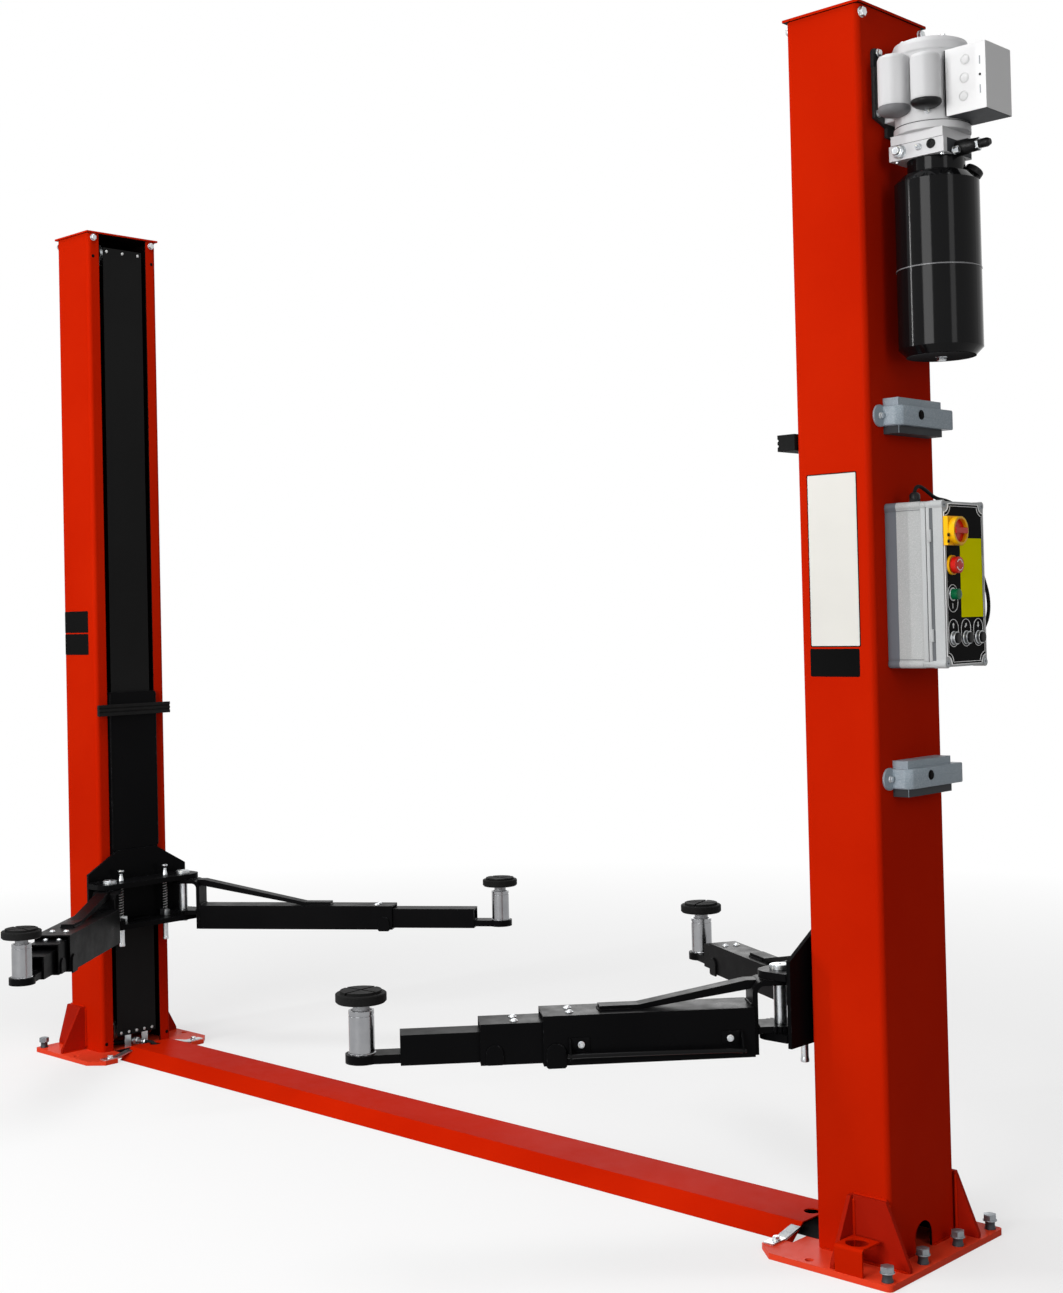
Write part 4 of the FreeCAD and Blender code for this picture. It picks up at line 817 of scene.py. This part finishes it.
for arm, (tip, middle_end, outward) in ARMS.items():
    place = arm_frame(arm)
    body = "arm_" + arm
    if middle_end:
        tube, outer_end, low, foot = 112, 555, 15.6, 332
        wide, boss_top, bolt_step, bolt_row = 23, 51, 63, 22
    else:
        tube, outer_end, low, foot = 80, 754, 10.3, 442
        wide, boss_top, bolt_step, bolt_row = 20, 44, 58, 17
    bosses, heads = Solid(place), Solid(place)
    stop_boss(bosses, outer_end - 29, tube / 2, wide, boss_top)
    bosses.piece("stop_bosses_" + arm, black_paint, "black_paint", body)
    tube_bolts(heads, outer_end - bolt_step, bolt_row, tube)
    heads.piece("tube_bolts_" + arm, zinc, "zinc", body)
    z = tube + 0.5
    runs = [
        ((foot + 14, -21, z), (foot + 91, -21, z)), ((foot + 14, 21, z), (foot + 91, 21, z)),
        ((foot + 91, -21, z), (foot + 91, 21, z)), ((73, -37, tube + 1), (73, 37, tube + 1)),
        ((72, -39, 6), (72, -39, tube - 2)), ((72, 39, 6), (72, 39, tube - 2)),
        ((58, -37, 48), (58, 37, 48)), ((58, -37, 63.5), (58, 37, 63.5)),
    ]
    weld("arm_welds_" + arm, runs, 3.2, black_paint, body, "black_paint", place)
    if middle_end:
        middle, heads = Solid(place), Solid(place)
        stop_boss(middle, middle_end - 32, 45.5, 20, 51, 5.6)
        middle.piece("middle_bosses_" + arm, black_paint, "black_paint", "stage_" + arm)
        tube_bolts(heads, middle_end - 78, 21, 97.3)
        heads.piece("middle_bolts_" + arm, zinc, "zinc", "stage_" + arm)
        toe_guard(arm, place, outward)
    runs = [((tip - 88, -16, low + 20.5), (tip - 88, 16, low + 20.5))]
    weld("foot_weld_" + arm, runs, 2.6, black_paint, "tip_" + arm, "black_paint", place)
    collar = Solid(place).ring((tip, 0, low + 20), UP, 28.9, 31.6, 3.2, 56, 1.4)
    collar.piece("adapter_collar_" + arm, chrome, "zinc", "tip_" + arm)


# Details of the power unit

UNIT_X = 1750.0
TANK_X = 1757.0
BOX_FRONT = -57
BLOCK_FRONT = -70
BREATHER = (-10, 2473)

bosses, screws = Solid(), Solid()
for angle in (-34, 56, 146, 236):
    turn = math.radians(angle)
    spot = Vector((UNIT_X + 66 * math.cos(turn), 66 * math.sin(turn), 2719))
    bosses.turned(spot, UP, ((0, 8), (1.4, 8), (2.0, 7.4)), 24)
    hex_bolt(screws, spot + Vector((0, 0, 2)), UP, 9, 4, 0, angle)
bosses.piece("motor_bosses", motor_grey, "cast_grey")
turn = math.radians(-66)
out = Vector((math.cos(turn), math.sin(turn), 0))
hex_bolt(screws, Vector((UNIT_X, 0, 2552)) + out * 82, out, 10, 5, 6.5)
hex_bolt(screws, (BACK + 8, -70, 2710), OUT, 13, 6, 9)
hex_bolt(screws, (BACK + 8, -74, 2572), OUT, 13, 6, 9)
screws.piece("motor_screws", zinc, "zinc")
outline = ((-90, 2676), (-90, 2708), (-88, 2714), (-84, 2718), (-78, 2719.5), (-30, 2700), (-30, 2676))
ear = Solid().slab(outline, 7.8, (BACK + 0.2, 0, 0), ACROSS, UP, 0.6)
ear.piece("motor_ear", ear_dark, "cast_grey")
seams = Solid()
for z, radius in ((2530.5, 85.0), (2694, 82.0)):
    seams.ring((UNIT_X, 0, z), UP, radius - 1, radius + 0.35, 1.1, 72, 0.2)
seams.piece("motor_seams", hole_black, "cast_grey")

# painted shade: the knock-outs take a slightly darker white than the box, for the shade along their
# rims
knock_outs = Solid()
for x, z in ((1869, 2649), (1866, 2610), (1863, 2571)):
    knock_outs.ring((x, BOX_FRONT, z), FORWARD, 10.1, 11.2, 0.8, 40, 0.2)
    knock_outs.turned((x, BOX_FRONT, z), FORWARD, ((0, 9.3), (0.5, 9.3), (0.7, 8.9)), 40)
knock_outs.piece("box_knock_outs", soft_white, "white_paint")
lines = Solid().block((1817, BOX_FRONT + 0.4, 2536), (1820.4, -24, 2680), 0)
lines.turned((1904, BOX_FRONT, 2609.5), FORWARD, ((0, 2.6), (0.8, 2.6), (1.2, 2.2)), 20)
lines.piece("box_seams", hole_black, "black_plastic")
# painted shade: dark grey sheets on the box underside and on the lower block's right side
unlit = Solid().block((1820.6, -56, 2534.3), (1917.6, 51.6, 2535.1), 0)
unlit.block((1817.9, -55, 2459.5), (1818.5, 48, 2490.5), 0)
unlit.piece("unlit_sides", under_grey, "cast_grey")
# painted shade: two dull grey dashes on the terminal box front stand in for the shaded slots there
dash_shades = Solid()
for z in (2641, 2578):
    dash_shades.block((1902.6, BOX_FRONT - 0.5, z - 9), (1905.2, BOX_FRONT + 0.2, z + 9), 0.2, 1)
dash_shades.piece("box_dash_shades", zinc_dark, "white_paint")
# painted shade: darker cups at the can bottoms, grey on the left and black on the right, for the shade
# under the cans
for side, x, radius, low, long, look in (
    ("left", 1712, 35.4, 2551, 20, can_grey), ("right", 1793, 33.4, 2553, 16, plastic_black)
):
    cup = Solid().turned((x, -95, low), UP, (
        (0, radius - 16), (2, radius - 9), (6, radius - 3), (10, radius), (long - 1, radius),
        (long, radius - 0.5)
    ), 56)
    cup.piece("can_end_shade_" + side, look, "cast_grey")

joint = Solid().block((1683.7, -69.3, 2491.9), (1816.3, -66, 2493.1), 0.2, 1)
joint.piece("block_joint", hole_black, "cast_grey")
fittings = Solid()
hex_bolt(fittings, (1708, BLOCK_FRONT, 2476), FORWARD, 27, 9, 15.5)
port = ((0, 11), (3, 11), (3.5, 9.2), (10, 9.2), (11, 8.2))
fittings.turned((1708, BLOCK_FRONT - 10.5, 2476), FORWARD, port)
fittings.ring((1708, BLOCK_FRONT - 18, 2476), FORWARD, 5.6, 9.0, 3.6, 32)
hex_bolt(fittings, (1756, BLOCK_FRONT, 2478), FORWARD, 13, 5, 7.8)
fittings.turned((1756, BLOCK_FRONT - 6, 2478), FORWARD, ((0, 3.6), (7, 3.6), (7.6, 3.0)), 20)
for x, y in ((1807, -58), (1694, -60)):
    fittings.turned((x, y, 2458), DOWN, ((0, 5.2), (4, 5.2), (4.8, 4.4)), 24)
fittings.ring((1866.5, *BREATHER), OUT, 7.4, 14.6, 7, 6, 0.8)
hex_bolt(fittings, (1822, -34, 2464), OUT, 15, 12, 9)
fittings.piece("block_fittings", zinc, "zinc")
plugs = Solid().ring((1787, BLOCK_FRONT, 2480), FORWARD, 5.4, 10.8, 2.4, 40)
plugs.turned((1787, BLOCK_FRONT + 0.4, 2480), FORWARD, ((0, 6), (0.6, 6), (0.8, 5.8)), 6)
plugs.turned((1873.5, *BREATHER), OUT, ((0, 8.6), (2, 10.2), (17, 10.2), (21, 8.8), (24, 6.8)), 12)
plugs.ring((1896.6, *BREATHER), OUT, 3.6, 6.4, 1.2, 24, 0.3)
stem = ((0, 16.5), (3, 17.5), (26, 17.5), (30, 15), (46, 14.4))
plugs.turned((1818, *BREATHER), OUT, stem, 40)
plugs.piece("block_plugs", plastic_black, "black_plastic")

neck_way = Vector((0.42, 0.40, 0.82)).normalized()
neck_foot = (1808, 46, 2412)
trim = Solid().ring((TANK_X, 0, 2424), UP, 63, 66, 4.5, 72, 1.4)
trim.turned(neck_foot, neck_way, ((0, 12.5), (19, 12.5), (20, 11.5)))
trim.piece("tank_trim", gloss_black, "black_plastic")
cap = ((18, 19.5), (19, 21.5), (30, 21.5), (32.5, 19.5), (34, 13.0))
Solid().turned(neck_foot, neck_way, cap, 16).piece("filler_cap", plastic_black, "black_plastic")
# painted highlight: a light grey ring stands in for the light line along the tank's seam
seam = Solid().ring((TANK_X, 0, 2211), UP, 93, 94.7, 3.0, 120, 0.9)
seam.piece("tank_seam", seam_highlight_grey, "black_plastic")
disc = Solid().turned((TANK_X, 0, 2019.2), DOWN, ((0, 77), (0.5, 77), (0.9, 76)), 72)
disc.piece("tank_floor", tank_matt, "black_plastic")
drain = Solid()
hex_bolt(drain, (TANK_X, 0, 2020), DOWN, 19, 8, 13)
drain.piece("tank_drain", zinc, "zinc")


# Details of the lock covers

wrap_line = [(2, -85), (33, -85), (36.5, -83.5), (47.5, -71), (49, -67), (49, 140), (2, 140)]
under_line = [(0.6, -76.9), (38, -76.9), (40.9, -74), (40.9, 104.8), (0.6, 104.8)]
mirrored = [(a, -b) for a, b in wrap_line]
LOCK_LEVELS = (1891, 1080)
screws, holes, wraps, unders = Solid(), Solid(), Solid(), Solid()
for level in LOCK_LEVELS:
    hex_bolt(screws, (BACK + 5, -94, level), OUT, 12, 5, 8.5)
    holes.ring((1699, 4, level + 4), OUT, 9.4, 11.2, 1.0, 36, 0.3)
    holes.turned((1699, 4, level + 4), OUT, ((0, 9.2), (0.25, 9.2), (0.4, 9.0)), 36)
    wraps.slab(wrap_line, 22.4, (BACK, 0, level), OUT, ACROSS, 2.4)
    wraps.slab(mirrored, 22.4, (BACK, 0, level), OUT, FORWARD, 2.4)
    unders.slab(under_line, 17, (BACK, 0, level - 40.4), OUT, ACROSS)
wraps.piece("lock_cover_wraps", cast_grey, "cast_grey")
# painted shade: the lock covers' undersides take dark grey
unders.piece("lock_cover_under_shade", under_grey, "cast_grey")
screws.piece("lock_cover_screws", zinc, "zinc")
holes.piece("lock_cover_holes", hole_black, "black_plastic")


# Details of the control box and its door

DOOR = 1796.0
DOOR_BACK = 1755.0
DOOR_PARTS = "control_door"
START = (-48, 1488)
STOP = (-49, 1552)
SWITCH = (-47, 1627)
ROW = {"up": (-48, 1392), "hold": (5, 1392), "down": (58, 1392)}


def on_door(solid, outline, depth, stand=0.0):
    """A sheet on the door's front, from (across, up) points."""
    solid.slab(outline, depth, (DOOR + stand, 0, 0), ACROSS, UP)


def door_line(name, outline, stand, radius):
    """A thin raised line round an outline on the door."""
    points = [(DOOR + stand, across, up) for across, up in outline]
    wire(name, points, radius, line_white, DOOR_PARTS, "POLY", True)


face, yellow = Solid(), Solid()
on_door(face, rounded_outline(-75, 1335, 88, 1686, 19, 10, True), 0.7)
face.piece("door_face", label_dark, "black_plastic", DOOR_PARTS)
for name, inset, radius, stand in (("outer", 0.0, 1.5, 0.5), ("inner", 5.2, 0.9, 0.9)):
    outline = rounded_outline(
        -76 + inset, 1334 + inset, 89 - inset, 1687 - inset, 19 + inset * 0.2, 10, True
    )
    door_line("door_frame_" + name, outline, stand, radius)
on_door(yellow, rounded_outline(-12, 1437, 81, 1612, 1.5, 3), 0.3, 0.7)
yellow.piece("bare_sheet_door", label_yellow, "yellow_plastic", DOOR_PARTS)
pills = ("start", -47, 1449), ("up", -48, 1373), ("hold", 5, 1373), ("down", 58, 1373)
for name, across, low in pills:
    outline = rounded_outline(across - 20, low, across + 20, low + 60, 19.9, 10)
    door_line("pill_" + name, outline, 0.9, 0.75)

# a plain arrow above each button of the row, and a line below the start button
ARROW = (0, 1), (0.75, 0.1), (0.3, 0.1), (0.3, -1), (-0.3, -1), (-0.3, 0.1), (-0.75, 0.1)
ARROW_SIZE = 6.2
signs = Solid()
for name, turn in (("up", 0), ("hold", -40), ("down", 180)):
    across, up = ROW[name]
    angle = math.radians(turn)
    outline = []
    for a, b in ARROW:
        outline.append((
            across + ARROW_SIZE * (a * math.cos(angle) - b * math.sin(angle)),
            up + 27.5 + ARROW_SIZE * (a * math.sin(angle) + b * math.cos(angle)),
        ))
    on_door(signs, outline, 0.3, 0.7)
on_door(signs, rounded_outline(-49.2, 1457, -46.8, 1468, 0.6, 3), 0.3, 0.7)
signs.piece("door_signs", line_white, "white_paint", DOOR_PARTS)

rings = Solid()
for spot in ROW.values():
    rings.ring((DOOR + 0.7, *spot), OUT, 11.2, 15.2, 2.2, 48, 0.8)
    rings.ring((DOOR + 2.5, *spot), OUT, 12.2, 14.2, 8.2)
rings.ring((DOOR + 0.7, *START), OUT, 12.2, 14.6, 2.4, 48, 0.8)
rings.piece("button_rings", zinc, "zinc", DOOR_PARTS)
collar = Solid().ring((DOOR + 0.7, *STOP), OUT, 8.4, 22, 1.6, 56)
collar.ring((DOOR + 2.2, *STOP), OUT, 18.8, 21.6, 4.6, 56, 1.0)
collar.piece("stop_collar", plastic_yellow, "yellow_plastic", DOOR_PARTS)

crown = ((0, 18.3), (0.8, 18.3), (1.4, 17.4), (1.9, 15.5), (2.3, 12), (2.5, 7))
mushroom = Solid().turned((DOOR + 19.4, *STOP), OUT, crown, 48)
mushroom.piece("stop_crown", plastic_red, "red_plastic", "stop_button")
marks = Solid()
for first in (20, 200):
    outline = []
    for radius, steps in ((12.6, range(11)), (10.6, range(10, -1, -1))):
        for i in steps:
            angle = math.radians(first + 13 * i)
            outline.append((STOP[0] + radius * math.cos(angle), STOP[1] + radius * math.sin(angle)))
    on_door(marks, outline, 0.6, 21.6)
marks.piece("stop_marks", line_white, "white_paint", "stop_button")
crowns = [("start", START, 11.6, 17, plastic_green, "green_plastic")]
crowns += [(name, ROW[name], 12.0, 13.6, gloss_black, "black_plastic") for name in ROW]
for name, spot, radius, stand, material, slot in crowns:
    profile = ((-0.2, radius), (0.5, radius), (1.1, radius - 1.2), (1.4, radius * 0.6))
    crown = Solid().turned((DOOR + stand, *spot), OUT, profile, 40)
    crown.piece(name + "_crown", material, slot, name + "_button")

posts, heads, slots = Solid(), Solid(), Solid()
for across in (-73, 86):
    for up in (1337, 1684):
        posts.ring((DOOR - 0.6, across, up), OUT, 6.4, 8.6, 1.4, 40, 0.5)
        heads.turned((DOOR - 0.2, across, up), OUT, ((0, 6.4), (0.7, 6.4), (1.1, 5.4)))
        for wide, tall, top in ((3.6, 0.6, 1.05), (0.6, 3.6, 1.06)):
            low = (DOOR + 0.8, across - wide, up - tall)
            slots.block(low, (DOOR + top, across + wide, up + tall), 0)
posts.piece("door_post_rings", door_grey, "box_grey", DOOR_PARTS)
heads.piece("door_post_screws", zinc_dark, "zinc", DOOR_PARTS)
slots.piece("door_screw_slots", hole_black, "black_plastic", DOOR_PARTS)

LOW_Y, LOW_Z, HIGH_Y, HIGH_Z = -83.0, 1327.0, 96.0, 1694.0


def belt(low_x, high_x):
    """A band round the box between its corner posts."""
    band = Solid()
    for low, high in (
        ((LOW_Y, LOW_Z + 15), (LOW_Y + 3, HIGH_Z - 15)),
        ((HIGH_Y - 3, LOW_Z + 15), (HIGH_Y, HIGH_Z - 15)),
        ((LOW_Y + 15, HIGH_Z - 3), (HIGH_Y - 15, HIGH_Z)),
        ((LOW_Y + 15, LOW_Z), (HIGH_Y - 15, LOW_Z + 3)),
    ):
        band.block((low_x, *low), (high_x, *high), 0.8)
    return band


belt(1742, DOOR_BACK - 0.6).piece("case_flange", door_grey, "box_grey")
belt(DOOR_BACK + 0.6, 1764).piece("door_flange", door_grey, "box_grey", DOOR_PARTS)
# painted shade: a mid-grey strip in the recess beside the door's hinge side
groove = Solid().block((1764, LOW_Y + 1.5, LOW_Z + 16), (1771.5, LOW_Y + 2.4, HIGH_Z - 16), 0.2, 1)
groove.piece("door_groove_shade", groove_grey, "black_plastic", DOOR_PARTS)
knuckles = Solid()
for up in (1398, 1617):
    knuckle = ((0, 3.0), (0.6, 3.6), (27.4, 3.6), (28, 3.0))
    knuckles.turned((1765, LOW_Y + 0.2, up - 14), UP, knuckle, 20)
    knuckles.block((1757, LOW_Y - 1.4, up - 13), (1766, LOW_Y + 2, up + 13), 0.6)
knuckles.piece("door_knuckles", door_grey, "box_grey", DOOR_PARTS)
for name, start, long, body, look in (
    ("case", 1650.4, 90.6, "frame", case_grey), ("door", 1764.4, 32.2, DOOR_PARTS, door_grey),
):
    tubes = Solid()
    for across in (LOW_Y + 8.6, HIGH_Y - 8.6):
        for up in (LOW_Z + 8.6, HIGH_Z - 8.6):
            post = ((0, 8.4), (0.8, 9.4), (long - 0.8, 9.4), (long, 8.6))
            tubes.turned((start, across, up), OUT, post, 40)
    tubes.piece(name + "_corner_posts", look, "box_grey", body)
# painted shade: thin grey lines along the case's grooves
lines = Solid()
for up in (LOW_Z + 18.4, HIGH_Z - 18.4):
    lines.block((1651, LOW_Y - 0.25, up - 0.5), (1741, LOW_Y + 0.6, up + 0.5), 0)
lines.piece("case_groove_shade", groove_grey, "box_grey")
outline = rounded_outline(LOW_Y + 0.6, LOW_Z + 0.6, HIGH_Y - 0.6, HIGH_Z - 0.6, 9.4)
seal = Solid().slab(outline, 1.3, (DOOR_BACK - 0.65, 0, 0), ACROSS)
seal.piece("door_seal", hole_black, "black_plastic")

rim = Solid().ring((1819.6, *SWITCH), OUT, 26.4, 30.9, 2.3, 64, 1.0)
rim.piece("switch_rim", plastic_yellow, "yellow_plastic", DOOR_PARTS)
grip = Solid().block((1812.5, SWITCH[0] - 24.5, 1621.2), (1824.2, SWITCH[0] + 24.5, 1632.8), 2.6, 3)
grip.piece("switch_grip", plastic_red, "red_plastic", "main_switch")
slits = Solid()
for low in (1600, 1614):
    slits.block((1806, -79.4, low), (1812, -78.6, low + 7), 0.2, 1)
slits.piece("guard_slits", hole_black, "black_plastic", DOOR_PARTS)

# the control cable leaves a gland on the box and runs round it into the column
gland = Solid().turned((1712, -54, 1690), UP, ((0, 13.5), (12, 13.5), (13, 12.6)), 6, 0.3)
gland.turned((1712, -54, 1702), UP, ((0, 12.0), (9, 12.0), (13, 9.4), (15, 6.4)))
gland.piece("cable_gland", plastic_black, "black_plastic")
CABLE_THICK = 8.4
CABLE = (
    (1712, -54, 1714), (1712, -54, 1724), (1712, -36, 1733), (1712, -8, 1724),
    (1713, 30, 1706), (1716, 72, 1703), (1722, 104, 1692), (1738, 112, 1640),
    (1758, 117, 1590), (1776, 121, 1530), (1788, 124, 1482), (1786, 124, 1434),
    (1766, 122, 1396), (1732, 120, 1380), (1696, 118, 1380), (1672, 117, 1386),
    (1646, 116, 1391),
)
cable = wire("control_cable", CABLE, CABLE_THICK / 2, rubber)
inlet = Solid().ring((BACK, 116.2, 1391), OUT, 4.0, 8.4, 3.0, 32, 0.8)
inlet.piece("cable_grommet", rubber, "rubber")


# Camera, floor and light

IMAGE_HEIGHT = 1293
FOCAL_PIXELS = 1792.11
CENTRE_ROW = 583.06
CAMERA_PLACE = (3.8434, -3.5282, 1.4592)
CAMERA_YAW = math.radians(43.669)
CAMERA_PITCH = math.radians(1.088)
CAMERA_ROLL = math.radians(-1.328)


def camera():
    ahead = Vector((
        -math.sin(CAMERA_YAW) * math.cos(CAMERA_PITCH),
        math.cos(CAMERA_YAW) * math.cos(CAMERA_PITCH),
        math.sin(CAMERA_PITCH),
    ))
    level = Vector((math.cos(CAMERA_YAW), math.sin(CAMERA_YAW), 0))
    raised = level.cross(ahead)
    right = level * math.cos(CAMERA_ROLL) + raised * math.sin(CAMERA_ROLL)
    top = raised * math.cos(CAMERA_ROLL) - level * math.sin(CAMERA_ROLL)
    data = bpy.data.cameras.new("camera")
    data.sensor_width = 36
    data.lens = FOCAL_PIXELS / IMAGE_HEIGHT * data.sensor_width
    data.shift_y = (CENTRE_ROW - IMAGE_HEIGHT / 2) / IMAGE_HEIGHT
    data.clip_start = 0.05
    data.clip_end = 200
    holder = added("camera", data)
    turn = Matrix((right, top, -ahead)).transposed().to_4x4()
    holder.matrix_world = Matrix.Translation(CAMERA_PLACE) @ turn
    bpy.context.scene.camera = holder


def seen_rays(tree):
    """1 for camera, glossy and transmission rays."""
    path = tree.nodes.new("ShaderNodeLightPath").outputs
    seen = path["Is Camera Ray"]
    for kind in ("Is Glossy Ray", "Is Transmission Ray"):
        either = tree.nodes.new("ShaderNodeMath")
        either.operation = "MAXIMUM"
        tree.links.new(seen, either.inputs[0])
        tree.links.new(path[kind], either.inputs[1])
        seen = either.outputs[0]
    return seen


def floor():
    """A pale floor that keeps the shadow near the lift and turns white further out."""
    size = 60
    data = bpy.data.meshes.new("floor")
    corners = [(x * size, y * size, -0.0005) for x, y in ((-1, -1), (1, -1), (1, 1), (-1, 1))]
    data.from_pydata(corners, [], [(0, 1, 2, 3)])
    ground = added("floor", data)
    look = Shade("floor")
    distance = look.node("ShaderNodeVectorMath", "Value", {0: look.place}, operation="LENGTH")
    far = look.spread(distance, 2.2, 5.5, 0.62, 1.0)
    seen = seen_rays(look.tree)
    pale = look.blend(seen, (0.32, 0.32, 0.32), (0.86, 0.86, 0.86))
    matt = look.node("ShaderNodeBsdfDiffuse", 0, {"Color": pale})
    glow = look.node("ShaderNodeEmission", 0)
    mixed = look.node("ShaderNodeMixShader", 0, {"Fac": look.times(seen, far), 1: matt, 2: glow})
    look.join(mixed, look.tree.nodes["Material Output"].inputs["Surface"])
    data.materials.append(look.material)
    ground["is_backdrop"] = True


def world():
    sky = bpy.data.worlds.new("studio")
    bpy.context.scene.world = sky
    sky.use_nodes = True
    tree = sky.node_tree
    background = tree.nodes["Background"]
    background.inputs["Color"].default_value = (1, 1, 1, 1)
    strength = tree.nodes.new("ShaderNodeMapRange")
    strength.inputs["To Min"].default_value = 0.16
    tree.links.new(seen_rays(tree), strength.inputs["Value"])
    tree.links.new(strength.outputs["Result"], background.inputs["Strength"])


def lamp(name, place, target, width, height, power):
    data = bpy.data.lights.new(name, "AREA")
    data.shape = "RECTANGLE"
    data.size = width
    data.size_y = height
    data.energy = power
    holder = added(name, data)
    holder.location = place
    toward = Vector(target) - Vector(place)
    holder.rotation_euler = toward.to_track_quat("-Z", "Y").to_euler()


camera()
floor()
world()
lamp("key", (1.6, -7.0, 2.8), (0.2, 0, 1.1), 3.2, 3.7, 335)
lamp("top", (0, -1.0, 6.5), (0, 0, 0), 4.0, 3.0, 190)
lamp("side", (6.5, -2.0, 2.6), (1.5, 0, 1.4), 1.2, 3.4, 44)
lamp("back", (-3.5, 5.5, 3.0), (0, 0, 1.2), 2.5, 3.0, 60)
lamp("strip", (-2.07, -3.21, 2.2), (1.75, 0, 2.2), 0.16, 2.6, 60)
bpy.context.scene.view_settings.view_transform = "Standard"

low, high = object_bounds()
